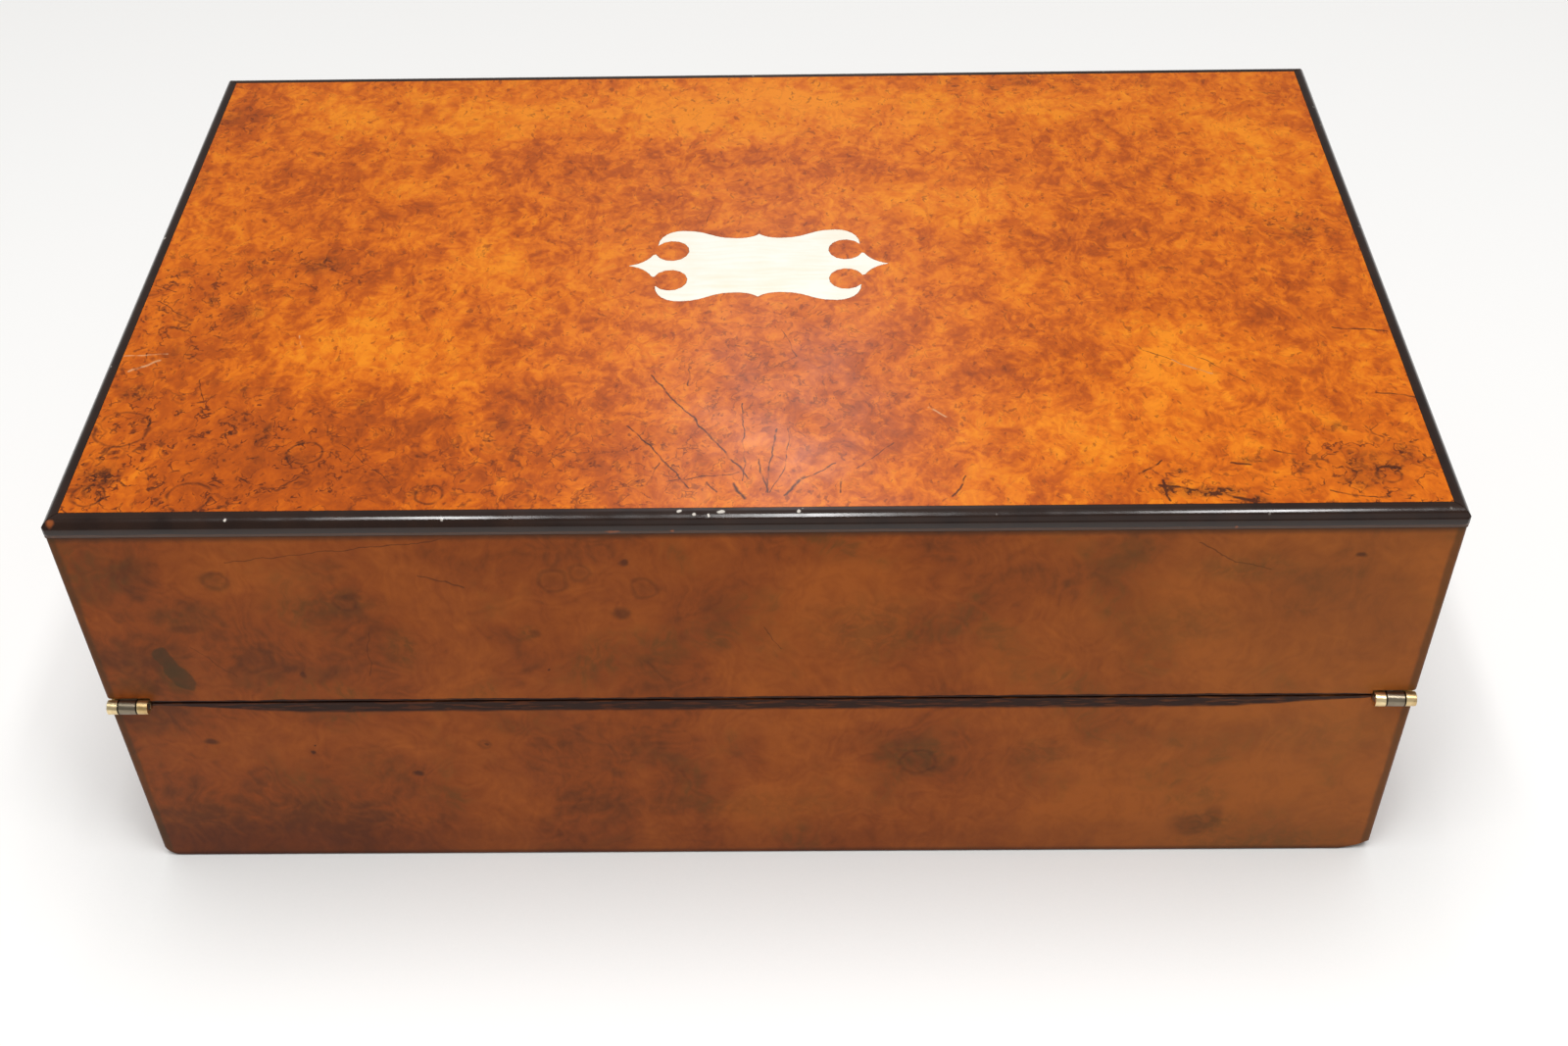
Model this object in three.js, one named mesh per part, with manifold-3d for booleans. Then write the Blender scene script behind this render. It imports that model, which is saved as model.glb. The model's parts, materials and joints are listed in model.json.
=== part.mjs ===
// A writing slope: a veneered box cut in two along a sloping plane. Opened flat, its two halves make one
// continuous sloping writing surface. Millimetres, +Z up. The hinge side faces -Y and the lock side +Y, and the
// origin is under the middle of the closed box.
import * as THREE from "three";
import { mergeVertices } from "three/addons/utils/BufferGeometryUtils.js";
import Module from "manifold-3d";

// Closed box, over the veneers
const width = 355;
const depth = 216;
const height = 135;
const lidLockSideHeight = 30;
const splitGap = 0.8;
const hingeAxisOut = 1.2;

// Clearances
const glueGap = 0.1;
const seatGap = 0.3;
const flapClearance = 0.6;
const overrun = 2;

// Case
const bottomThickness = 6;
const topBoardThickness = 6;
const wallThickness = 10.5;
const veneerThickness = 1.2;
const veneerFoot = 0.5;

// Edge moulding of the lid
const mouldingWidth = 4.2;
const mouldingHeight = 5.2;
const mouldingProud = 0.5;
const mouldingRoundWidth = 3.3;
const mouldingNoseHeight = 0.35;
const quirkHeight = 0.8;
const mouldingCornerRadius = 2.2;

// Inlaid cartouche, measured from its middle to its tips, barbs, eyes, horns, crests, waist and cusps
const cartoucheOffsetY = -1;
const tipReach = 37.5;
const eye = { x: 25.2, y: 7.2, radius: 5 };
const barbLength = 0.76;
const barbAngle = THREE.MathUtils.degToRad(-20.3);
const eyeToCrest = { x: -2.8, y: 10.1 };
const hornAngle = THREE.MathUtils.degToRad(33);
const waist = { x: 6.5, y: 13.3 };
const cuspReach = 15.4;

// Writing flaps and what they rest on
const flapDrop = 0.6;
const flapThickness = 5;
const flapBorder = 16;
const leatherRecess = 1;
const leatherThickness = 0.8;
const stripThickness = 0.6;
const stripOnWall = 6;
const stripOnFlap = 8;
const stripSideMargin = 14;
const ledgeWidth = 8;
const ledgeDepth = 8;
const railWidth = 15;

// Compartments at the lock side of the base
const trayRoomDepth = 45;
const partitionThickness = 6;
const inkwellRoomWidth = 42;
const dividerThickness = 5;
const trayRebate = 2.5;
const trayLowSideHeight = 18.6;
const troughRadius = 19.5;
const troughAxisRise = 4;
const troughEndMargin = 6;
const inkwellHeadroom = 6;
const inkwellFloorThickness = 5;

// Inkwells
const glassClearance = 3.5;
const glassHeight = 32;
const glassCornerCut = 4;
const glassEdgeCut = 1.5;
const wellRadius = 10;
const wellFloor = 5;
const neckRadius = 12;
const neckHeight = 5;
const collarThickness = 2.2;
const neckOverCollar = 0.4;
const capHeight = 6.5;
const capEdge = 0.8;
const capSide = 3;

// Hinges: two leaves on the sloping edges of the side walls, and a barrel outside the hinge side
const knuckleRadius = 2.05;
const middleKnuckleLength = 5;
const knuckleGap = 0.2;
const pinRadius = 0.9;
const pinClearance = 0.08;
const leafLength = 46;
const leafThickness = 1.2;
const leafInset = 0.5;
const leafScrewRadius = 1.2;
const leafScrewHeadRadius = 2.2;
const leafScrewShares = [0.28, 0.58, 0.88];

// Lock in the lock wall, and the link plate that it holds
const lockPlateWidth = 50;
const lockPlateThickness = 1.2;
const lockPlateDrop = 26;
const plateMargin = 1.5;
const lockCaseWidth = 40;
const lockCaseSheet = 1;
const lockCaseHeight = 17.5;
const lockCaseTopGap = 1;
const boltBarHeight = 4;
const boltBarDrop = 1.2;
const boltFingerHeight = 2.5;
const boltPostWidth = 2;
const boltTravel = 3.5;
const fingerLap = 0.7;
const hookSpacingShare = 0.38;
const hookThicknessShare = 1 / 3;
const hookShank = 2.5;
const hookToe = 2.5;
const hookToeHeight = 2.5;
const hookDepth = 10.2;
const hookClearance = 0.5;
const linkPlateWidth = 28;
const linkPlateThickness = 1.2;
const keyholeRadius = 2.1;
const keyholeSlotWidth = 2;
const keyholeSlotDrop = 6;
const linerWall = 0.9;
const linerDepth = 3;
const linerToCase = 1.2;

// Sliding catch at the free edge of the lower flap
const catchWidth = 10;
const catchThickness = 1.2;
const catchTongue = 3.5;
const catchTravel = 4;
const catchLength = 12.5;
const guideWidth = 16;
const guideToLeather = 1.5;
const guideFromEdge = 1.5;
const guideThickness = 1;
const catchKnob = 3.6;
const knobRise = 0.4;
const knobFromEdge = 5.5;

// Facets
const roundSegments = 20;
const holeSegments = 12;
const curveSegments = 6;
const glassSegments = 24;

// Derived places
const faceX = width / 2;
const faceY = depth / 2;
const veneerCornerRadius = veneerThickness - glueGap;
const caseX = faceX - veneerThickness - glueGap;
const caseY = faceY - veneerThickness - glueGap;
const innerX = caseX - wallThickness;
const innerY = caseY - wallThickness;
const axisY = -faceY - hingeAxisOut;
const axisZ = height / 2;
const slopeAngle = Math.atan2(height - lidLockSideHeight - axisZ, depth + hingeAxisOut);
const halfGap = splitGap / 2;
const floorTop = bottomThickness + glueGap;
const reach = width + depth + height;
const mouldingInset = mouldingWidth - mouldingProud;
const mouldingRoundHeight = mouldingHeight - quirkHeight - mouldingProud / 2 - mouldingNoseHeight;
const mouldingSeat = height - mouldingHeight - glueGap;
const fieldX = faceX - mouldingInset - glueGap;
const fieldY = faceY - mouldingInset - glueGap;
const boardTop = height - veneerThickness - glueGap;
const boardUnderside = boardTop - topBoardThickness;
const trayRoomY = innerY - trayRoomDepth;
const inkwellX = innerX - inkwellRoomWidth / 2;
const inkwellY = innerY - trayRoomDepth / 2;
const dividerX = innerX - inkwellRoomWidth;
const trayLowTop = slopeHeight(trayRoomY, -flapDrop);
const trayUnderside = trayLowTop - trayLowSideHeight;
const glassWidth = inkwellRoomWidth - 2 * glassClearance;
const collarHeight = neckHeight - neckOverCollar;
const inkwellHeight = glassHeight + neckHeight + glueGap + capHeight;
const inkwellFloorTop = trayLowTop - inkwellHeadroom - inkwellHeight - glueGap;
const flapUnderside = flapDrop + flapThickness;
const guideLength = flapBorder - guideFromEdge - guideToLeather;
const leafWidth = faceX - innerX - leafInset - seatGap;
const barrelX = faceX - leafInset - leafWidth / 2;
const boreRadius = pinRadius + pinClearance;

const wasm = await Module();
wasm.setup();

const materials = {
  burr: new THREE.MeshStandardMaterial({ color: 0xb8601f, roughness: 0.25 }),
  walnut: new THREE.MeshStandardMaterial({ color: 0x7a4a22, roughness: 0.4 }),
  ebonised: new THREE.MeshStandardMaterial({ color: 0x2b211b, roughness: 0.25 }),
  bone: new THREE.MeshStandardMaterial({ color: 0xfbf3e0, roughness: 0.35 }),
  carcass: new THREE.MeshStandardMaterial({ color: 0x8a5a34, roughness: 0.6 }),
  interior: new THREE.MeshStandardMaterial({ color: 0x4a2a1a, roughness: 0.45 }),
  leather: new THREE.MeshStandardMaterial({ color: 0x2f4a35, roughness: 0.6 }),
  cloth: new THREE.MeshStandardMaterial({ color: 0x27402e, roughness: 0.9 }),
  brass: new THREE.MeshStandardMaterial({ color: 0xb08d4a, roughness: 0.35, metalness: 1 }),
  steel: new THREE.MeshStandardMaterial({ color: 0x77726a, roughness: 0.4, metalness: 1 }),
  glass: new THREE.MeshStandardMaterial({ color: 0xdfe9e4, roughness: 0.05, transparent: true, opacity: 0.35 }),
};

// The box frame, and the slope frame: X along the hinge axis, Y up the slope and Z square to it. The split lies in
// its XY plane and the hinge axis on its X axis.
const slopeMatrix = new THREE.Matrix4()
  .makeTranslation(0, axisY, axisZ)
  .multiply(new THREE.Matrix4().makeRotationX(slopeAngle));

// How far up the slope the upright plane at y is met, at the given rise over the split
function alongSlope(y, rise) {
  return (y - axisY + rise * Math.sin(slopeAngle)) / Math.cos(slopeAngle);
}

// The height of the plane that lies the given rise over the split, at y
function slopeHeight(y, rise) {
  return axisZ + (y - axisY) * Math.tan(slopeAngle) + rise / Math.cos(slopeAngle);
}

function toSolid(geometry) {
  const bare = geometry.index ? geometry.toNonIndexed() : geometry.clone();
  bare.deleteAttribute("normal");
  bare.deleteAttribute("uv");
  const merged = mergeVertices(bare);
  const corners = merged.index.array;
  const triangles = [];
  for (let i = 0; i < corners.length; i += 3) {
    const [a, b, c] = corners.subarray(i, i + 3);
    if (a !== b && b !== c && c !== a) triangles.push(a, b, c);
  }
  return new wasm.Manifold(
    new wasm.Mesh({
      numProp: 3,
      vertProperties: merged.attributes.position.array,
      triVerts: new Uint32Array(triangles),
    }),
  );
}

function toGeometry(solid) {
  const mesh = solid.getMesh();
  const geometry = new THREE.BufferGeometry()
    .setAttribute("position", new THREE.BufferAttribute(mesh.vertProperties, 3))
    .setIndex(new THREE.BufferAttribute(mesh.triVerts, 1))
    .toNonIndexed();
  geometry.computeVertexNormals();
  return geometry;
}

// A block between two corners, each span a pair [low, high]
function block([x0, x1], [y0, y1], [z0, z1]) {
  const geometry = new THREE.BoxGeometry(x1 - x0, y1 - y0, z1 - z0);
  return toSolid(geometry.translate((x0 + x1) / 2, (y0 + y1) / 2, (z0 + z1) / 2));
}

function prismUp(shape, [z0, z1]) {
  const geometry = new THREE.ExtrudeGeometry(shape, { depth: z1 - z0, bevelEnabled: false, curveSegments });
  return toSolid(geometry.translate(0, 0, z0));
}

// An outline in Y and Z, drawn out along X
function prismAlongX(shape, [x0, x1]) {
  const geometry = new THREE.ExtrudeGeometry(shape, { depth: x1 - x0, bevelEnabled: false, curveSegments });
  const turn = new THREE.Matrix4().makeBasis(
    new THREE.Vector3(0, 1, 0),
    new THREE.Vector3(0, 0, 1),
    new THREE.Vector3(1, 0, 0),
  );
  return toSolid(geometry.applyMatrix4(turn).translate(x0, 0, 0));
}

// An outline in X and Z, drawn out along Y
function prismAlongY(shape, [y0, y1]) {
  const geometry = new THREE.ExtrudeGeometry(shape, { depth: y1 - y0, bevelEnabled: false, curveSegments });
  return toSolid(geometry.rotateX(Math.PI / 2).translate(0, y1, 0));
}

// A round bar along X, centred on the hinge axis
function barAlongX(radius, [x0, x1], segments = roundSegments) {
  const geometry = new THREE.CylinderGeometry(radius, radius, x1 - x0, segments);
  return toSolid(geometry.rotateZ(Math.PI / 2).translate((x0 + x1) / 2, 0, 0));
}

function fromSlope(solid) {
  return toSolid(toGeometry(solid).applyMatrix4(slopeMatrix));
}

const belowSplit = (rise) => fromSlope(block([-reach, reach], [-reach, reach], [-reach, rise]));
const aboveSplit = (rise) => fromSlope(block([-reach, reach], [-reach, reach], [rise, reach]));
const underBase = belowSplit(-halfGap);
const overLid = aboveSplit(halfGap);
const insideBase = belowSplit(-flapDrop);

const cutFrom = (solid, cutters) => cutters.reduce((left, cutter) => left.subtract(cutter), solid);
const joined = (solids) => solids.reduce((sum, solid) => sum.add(solid));
const symmetric = (half) => [-half, half];
const mirroredSpan = ([low, high], side) => (side > 0 ? [low, high] : [-high, -low]);

// Scene graph: the lid's group stands on the hinge axis, so turning it opens the box
const writingSlope = new THREE.Group();
const base = new THREE.Group();
const baseSlope = new THREE.Group();
const lid = new THREE.Group();
const lidCase = new THREE.Group();
const lidSlope = new THREE.Group();
baseSlope.position.set(0, axisY, axisZ);
baseSlope.rotation.x = slopeAngle;
lid.position.set(0, axisY, axisZ);
lidCase.position.set(0, -axisY, -axisZ);
lidSlope.rotation.x = slopeAngle;
base.add(baseSlope);
lid.add(lidCase, lidSlope);
writingSlope.add(base, lid);

function addPiece(group, name, solid, material) {
  const mesh = new THREE.Mesh(toGeometry(solid), material.clone());
  mesh.name = name;
  group.add(mesh);
  return mesh;
}

const sides = [
  { name: "left", sign: -1 },
  { name: "right", sign: 1 },
];

// Room for a hinge: the pocket of a leaf and the round relief of the barrel. The face is -1 in the base and 1 in
// the lid.
function hingeRoom(face) {
  const pocketFloor = halfGap + leafThickness + seatGap;
  const cutters = sides.map(({ sign }) => {
    const span = mirroredSpan([barrelX - leafWidth / 2 - seatGap, faceX + overrun], sign);
    const rises = mirroredSpan([-overrun, pocketFloor], face);
    const pocket = block(span, [-overrun, leafLength + seatGap], rises);
    return pocket.add(barAlongX(knuckleRadius + seatGap, span));
  });
  return fromSlope(joined(cutters));
}

// Room for the cloth strip in the sloping edge of a hinge wall
function stripRoom(face) {
  const start = alongSlope(-innerY, face * flapDrop) - stripOnWall - seatGap;
  const rises = mirroredSpan([-overrun, flapDrop + stripThickness + seatGap], face);
  const span = symmetric(innerX - stripSideMargin + seatGap);
  return fromSlope(block(span, [start, start + stripOnWall + stripOnFlap], rises));
}

// Case walls, bottom and veneers

function longWallSpans(sideY) {
  return {
    x: symmetric(caseX),
    y: mirroredSpan([innerY, caseY], sideY),
  };
}

function sideWall(sign, z) {
  return block(mirroredSpan([innerX, caseX], sign), symmetric(innerY - glueGap), z);
}

// A long veneer wraps the corners, so its two outer edges are rounded
function longVeneer(sideY, z) {
  const inside = faceY - veneerThickness;
  const shape = new THREE.Shape();
  shape.moveTo(-faceX, inside);
  shape.lineTo(faceX, inside);
  shape.lineTo(faceX, faceY - veneerCornerRadius);
  shape.absarc(faceX - veneerCornerRadius, faceY - veneerCornerRadius, veneerCornerRadius, 0, Math.PI / 2);
  shape.lineTo(-faceX + veneerCornerRadius, faceY);
  shape.absarc(-faceX + veneerCornerRadius, faceY - veneerCornerRadius, veneerCornerRadius, Math.PI / 2, Math.PI);
  const solid = prismUp(shape, z);
  return sideY > 0 ? solid : toSolid(toGeometry(solid).rotateZ(Math.PI));
}

function sideVeneer(sign, z) {
  return block(mirroredSpan([faceX - veneerThickness, faceX], sign), symmetric(caseY), z);
}

function buildBaseCase() {
  const wallSpan = [floorTop, height];
  const veneerSpan = [veneerFoot, height];
  const hinges = hingeRoom(-1);
  const lockRoom = lockPockets();
  const hingeWall = longWallSpans(-1);
  const lockWall = longWallSpans(1);

  const bottom = block(symmetric(caseX), symmetric(caseY), [0, bottomThickness]);
  addPiece(base, "base_bottom_board", bottom, materials.carcass);

  const hingeWallSolid = block(hingeWall.x, hingeWall.y, wallSpan).intersect(underBase);
  addPiece(base, "base_hinge_wall", cutFrom(hingeWallSolid, [hinges, stripRoom(-1)]), materials.interior);

  const lockWallSolid = block(lockWall.x, lockWall.y, wallSpan).intersect(underBase);
  addPiece(base, "base_lock_wall", cutFrom(lockWallSolid, [lockRoom]), materials.interior);

  const hingeVeneer = longVeneer(-1, veneerSpan).intersect(underBase);
  addPiece(base, "base_hinge_veneer", hingeVeneer.subtract(hinges), materials.walnut);

  const lockVeneer = longVeneer(1, veneerSpan).intersect(underBase);
  addPiece(base, "base_lock_veneer", lockVeneer.subtract(lockRoom), materials.walnut);

  for (const { name, sign } of sides) {
    const wall = sideWall(sign, wallSpan).intersect(underBase);
    addPiece(base, `base_${name}_wall`, wall.subtract(hinges), materials.interior);
    const veneer = sideVeneer(sign, veneerSpan).intersect(underBase);
    addPiece(base, `base_${name}_veneer`, veneer.subtract(hinges), materials.walnut);
  }
}

function buildLidCase() {
  const wallSpan = [0, boardUnderside - glueGap];
  const veneerSpan = [0, mouldingSeat];
  const hinges = hingeRoom(1);
  const link = linkPlateRoom();
  const hingeWall = longWallSpans(-1);
  const lockWall = longWallSpans(1);

  const boardStep = block(symmetric(caseX), symmetric(caseY), [boardUnderside, mouldingSeat]);
  const boardField = block(symmetric(fieldX), symmetric(fieldY), [mouldingSeat, boardTop]);
  addPiece(lidCase, "lid_top_board", boardStep.add(boardField), materials.carcass);

  const hingeWallSolid = block(hingeWall.x, hingeWall.y, wallSpan).intersect(overLid);
  addPiece(lidCase, "lid_hinge_wall", cutFrom(hingeWallSolid, [hinges, stripRoom(1)]), materials.interior);

  const lockWallSolid = block(lockWall.x, lockWall.y, wallSpan).intersect(overLid);
  addPiece(lidCase, "lid_lock_wall", lockWallSolid.subtract(link), materials.interior);

  const hingeVeneer = longVeneer(-1, veneerSpan).intersect(overLid);
  addPiece(lidCase, "lid_hinge_veneer", hingeVeneer.subtract(hinges), materials.walnut);
  addPiece(lidCase, "lid_lock_veneer", longVeneer(1, veneerSpan).intersect(overLid), materials.walnut);

  for (const { name, sign } of sides) {
    const wall = sideWall(sign, wallSpan).intersect(overLid);
    addPiece(lidCase, `lid_${name}_wall`, wall.subtract(hinges), materials.interior);
    const veneer = sideVeneer(sign, veneerSpan).intersect(overLid);
    addPiece(lidCase, `lid_${name}_veneer`, veneer.subtract(hinges), materials.walnut);
  }
}

// Top veneer, cartouche and moulding

const barbReach = eye.radius + barbLength;
const barb = {
  x: eye.x + barbReach * Math.cos(barbAngle),
  y: eye.y + barbReach * Math.sin(barbAngle),
};
const crest = { x: eye.x + eyeToCrest.x, y: eye.y + eyeToCrest.y };

// One quarter of the cartouche's outline, from its tip to its cusp: a concave arrow head, the eye behind its barb,
// the horn round the eye, the crest and the waist
function cartoucheQuarter() {
  const horn = {
    x: eye.x + eye.radius * Math.cos(hornAngle),
    y: eye.y + eye.radius * Math.sin(hornAngle),
  };
  const hornToCrest = horn.x - crest.x;
  const crestToWaist = crest.x - waist.x;
  const path = new THREE.Path();
  path.moveTo(tipReach, 0);
  path.quadraticCurveTo(barb.x + (tipReach - barb.x) / 3, barb.y / 6, barb.x, barb.y);
  path.absarc(eye.x, eye.y, eye.radius, barbAngle, hornAngle, true);
  path.bezierCurveTo(horn.x, crest.y - eye.radius / 2, crest.x + hornToCrest / 2, crest.y, crest.x, crest.y);
  const middle = crestToWaist / 2;
  path.bezierCurveTo(crest.x - middle, crest.y, waist.x + middle, waist.y, waist.x, waist.y);
  path.quadraticCurveTo(waist.x / 3, waist.y, 0, cuspReach);
  return path.getPoints(curveSegments);
}

// The whole outline, moved outwards by the given amount
function cartoucheOutline(grow) {
  const quarter = cartoucheQuarter();
  const half = [...quarter, ...mirrored(quarter, -1, 1)];
  const outline = [...half, ...mirrored(half, 1, -1)].filter(
    (point, i, all) => point.distanceTo(all[(i + 1) % all.length]) > glueGap / 10,
  );
  const moved = outline.map((point, i) => {
    const before = outline[(i + outline.length - 1) % outline.length];
    const after = outline[(i + 1) % outline.length];
    const inward = point.clone().sub(before).normalize();
    const outward = after.clone().sub(point).normalize();
    const across = new THREE.Vector2(inward.y + outward.y, -inward.x - outward.x).normalize();
    const half = Math.max(across.dot(new THREE.Vector2(outward.y, -outward.x)), 1 / 2);
    return point.clone().addScaledVector(across, grow / half);
  });
  return new THREE.Shape(moved.map((point) => new THREE.Vector2(point.x, point.y + cartoucheOffsetY)));
}

// The points mirrored and in the other order, so that they carry an outline on
function mirrored(points, signX, signY) {
  return points.map((point) => new THREE.Vector2(point.x * signX, point.y * signY)).reverse();
}

function buildTop() {
  const span = [height - veneerThickness, height];
  const field = block(symmetric(fieldX), symmetric(fieldY), span);
  const hole = prismUp(cartoucheOutline(glueGap), [span[0] - overrun, span[1] + overrun]);
  addPiece(lidCase, "lid_top_veneer", field.subtract(hole), materials.burr);
  addPiece(lidCase, "cartouche", prismUp(cartoucheOutline(0), span), materials.bone);
}

// The moulding's section: a flat foot flush with the face, a small quirk, a nose and a rounded back
function mouldingSection(innerFace) {
  const shape = new THREE.Shape();
  const nose = innerFace - mouldingWidth;
  const top = mouldingSeat + glueGap + mouldingHeight;
  const foot = mouldingSeat + glueGap;
  shape.moveTo(innerFace, foot);
  shape.lineTo(nose + mouldingProud, foot);
  shape.lineTo(nose + mouldingProud, foot + quirkHeight);
  shape.lineTo(nose, foot + quirkHeight + mouldingProud / 2);
  shape.lineTo(nose, top - mouldingRoundHeight);
  shape.absellipse(
    nose + mouldingRoundWidth,
    top - mouldingRoundHeight,
    mouldingRoundWidth,
    mouldingRoundHeight,
    Math.PI,
    Math.PI / 2,
    true,
  );
  shape.lineTo(innerFace, top);
  return shape;
}

function roundedRectangle(halfX, halfY, radius) {
  const shape = new THREE.Shape();
  const corners = [
    [1, -1, -Math.PI / 2],
    [1, 1, 0],
    [-1, 1, Math.PI / 2],
    [-1, -1, Math.PI],
  ];
  for (const [x, y, start] of corners) {
    shape.absarc(x * (halfX - radius), y * (halfY - radius), radius, start, start + Math.PI / 2);
  }
  return shape;
}

// One length of moulding along the -Y side of a lid of the given half sizes, mitred at both ends
function mouldingLength(halfX, halfY) {
  const outer = { x: halfX + mouldingProud, y: halfY + mouldingProud };
  const inner = { x: halfX - mouldingInset, y: halfY - mouldingInset };
  const plan = new THREE.Shape([
    new THREE.Vector2(-outer.x + glueGap, -outer.y),
    new THREE.Vector2(outer.x - glueGap, -outer.y),
    new THREE.Vector2(inner.x - glueGap, -inner.y),
    new THREE.Vector2(-inner.x + glueGap, -inner.y),
  ]);
  const z = [mouldingSeat - overrun, height + overrun];
  const corners = prismUp(roundedRectangle(outer.x, outer.y, mouldingCornerRadius), z);
  return prismAlongX(mouldingSection(-inner.y), symmetric(outer.x))
    .intersect(prismUp(plan, z))
    .intersect(corners);
}

function buildMoulding() {
  const long = mouldingLength(faceX, faceY);
  const short = mouldingLength(faceY, faceX);
  addPiece(lidCase, "hinge_side_moulding", long, materials.ebonised);
  addPiece(lidCase, "lock_side_moulding", long, materials.ebonised).rotation.z = Math.PI;
  addPiece(lidCase, "right_moulding", short, materials.ebonised).rotation.z = Math.PI / 2;
  addPiece(lidCase, "left_moulding", short, materials.ebonised).rotation.z = -Math.PI / 2;
}

// Writing flaps, their leathers, strips, ledges and the rail, in the slope frame. The face is -1 for the upper flap
// in the base and 1 for the lower flap in the lid.

function flapSpans(face) {
  const rises = [flapDrop, flapUnderside];
  const nearWall = alongSlope(-innerY, face > 0 ? face * flapUnderside : face * flapDrop);
  const far = face > 0 ? railSpan()[0] : alongSlope(trayRoomY - partitionThickness, -flapUnderside);
  return {
    x: symmetric(innerX - flapClearance),
    s: [nearWall + flapClearance, far - flapClearance],
    n: mirroredSpan(rises, face),
  };
}

function railSpan() {
  const end = alongSlope(innerY, flapDrop) - seatGap;
  return [end - railWidth, end];
}

function leatherSpans(face, gap) {
  const { x, s } = flapSpans(face);
  return {
    x: [x[0] + flapBorder + gap, x[1] - flapBorder - gap],
    s: [s[0] + flapBorder + gap, s[1] - flapBorder - gap],
  };
}

function buildFlap(face, group, name) {
  const { x, s, n } = flapSpans(face);
  const recess = leatherSpans(face, 0);
  const leather = leatherSpans(face, glueGap);
  const strip = {
    x: symmetric(innerX - stripSideMargin),
    s: [alongSlope(-innerY, face * flapDrop) - stripOnWall, s[0] + stripOnFlap],
  };
  const recessRises = mirroredSpan([-overrun, flapDrop + leatherRecess], face);
  const stripRises = mirroredSpan([-overrun, flapDrop + stripThickness + glueGap], face);
  const leatherTop = flapDrop + leatherRecess - glueGap - leatherThickness;
  const leatherRises = mirroredSpan([leatherTop, leatherTop + leatherThickness], face);
  const cutters = [
    block(recess.x, recess.s, recessRises),
    block([strip.x[0] - glueGap, strip.x[1] + glueGap], [-overrun, strip.s[1] + glueGap], stripRises),
  ];
  if (face > 0) cutters.push(catchRoom());

  addPiece(group, `${name}_board`, cutFrom(block(x, s, n), cutters), materials.interior);
  addPiece(group, `${name}_leather`, block(leather.x, leather.s, leatherRises), materials.leather);
  const stripSpan = mirroredSpan([flapDrop, flapDrop + stripThickness], face);
  addPiece(group, `${name}_hinge_strip`, block(strip.x, strip.s, stripSpan), materials.cloth);
}

function buildLedges(face, group, name) {
  const low = flapUnderside + glueGap;
  const high = low + ledgeDepth;
  const start = alongSlope(-innerY, face > 0 ? high : -low) + seatGap;
  const farWall = face > 0 ? innerY : trayRoomY - partitionThickness;
  const end = alongSlope(farWall, face > 0 ? low : -high) - seatGap;
  for (const side of sides) {
    const x = mirroredSpan([innerX - glueGap - ledgeWidth, innerX - glueGap], side.sign);
    const ledge = block(x, [start, end], mirroredSpan([low, high], face));
    addPiece(group, `${name}_${side.name}_ledge`, ledge, materials.interior);
  }
}

function buildRail() {
  const rises = [flapDrop, flapUnderside];
  const rail = block(symmetric(innerX - glueGap), railSpan(), rises);
  const mortiseRises = [catchUnderGuide - glueGap, catchUnderGuide + catchThickness + seatGap];
  const mortise = block(
    symmetric(catchWidth / 2 + seatGap),
    [railSpan()[0] - overrun, railSpan()[0] + catchTongue + seatGap],
    mortiseRises,
  );
  addPiece(lidSlope, "lower_flap_rail", rail.subtract(mortise), materials.interior);
}

// Catch of the lower flap: a plate that slides in the flap under a guide, pushed by a knob in the guide's slot

const catchUnderGuide = flapDrop + guideThickness + seatGap;
const flapEdge = flapSpans(1).s[1];
const catchEnd = flapEdge + flapClearance + catchTongue;
const knobMiddle = flapEdge - knobFromEdge;
const guideEnd = flapEdge - guideFromEdge;

function catchRoom() {
  const guide = block(
    symmetric(guideWidth / 2 + seatGap),
    [guideEnd - guideLength - seatGap, guideEnd + seatGap],
    [-overrun, flapDrop + guideThickness + glueGap],
  );
  const channel = block(
    symmetric(catchWidth / 2 + seatGap),
    [catchEnd - catchLength - catchTravel - seatGap, flapEdge + overrun],
    [flapDrop + guideThickness, catchUnderGuide + catchThickness + seatGap],
  );
  return guide.add(channel);
}

function buildCatch() {
  const slot = block(
    symmetric(catchKnob / 2 + seatGap),
    [knobMiddle - catchKnob / 2 - catchTravel - seatGap, knobMiddle + catchKnob / 2 + seatGap],
    [-overrun, flapUnderside],
  );
  const guide = block(
    symmetric(guideWidth / 2),
    [guideEnd - guideLength, guideEnd],
    [flapDrop, flapDrop + guideThickness],
  );
  addPiece(lidSlope, "catch_guide", guide.subtract(slot), materials.brass);

  const plate = block(
    symmetric(catchWidth / 2),
    [catchEnd - catchLength, catchEnd],
    [catchUnderGuide, catchUnderGuide + catchThickness],
  );
  const knob = block(
    symmetric(catchKnob / 2),
    [knobMiddle - catchKnob / 2, knobMiddle + catchKnob / 2],
    [flapDrop - knobRise, catchUnderGuide],
  );
  addPiece(lidSlope, "catch_slide", plate.add(knob), materials.brass);
}

// Partition, dividers, inkwell floors and pen tray

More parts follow.
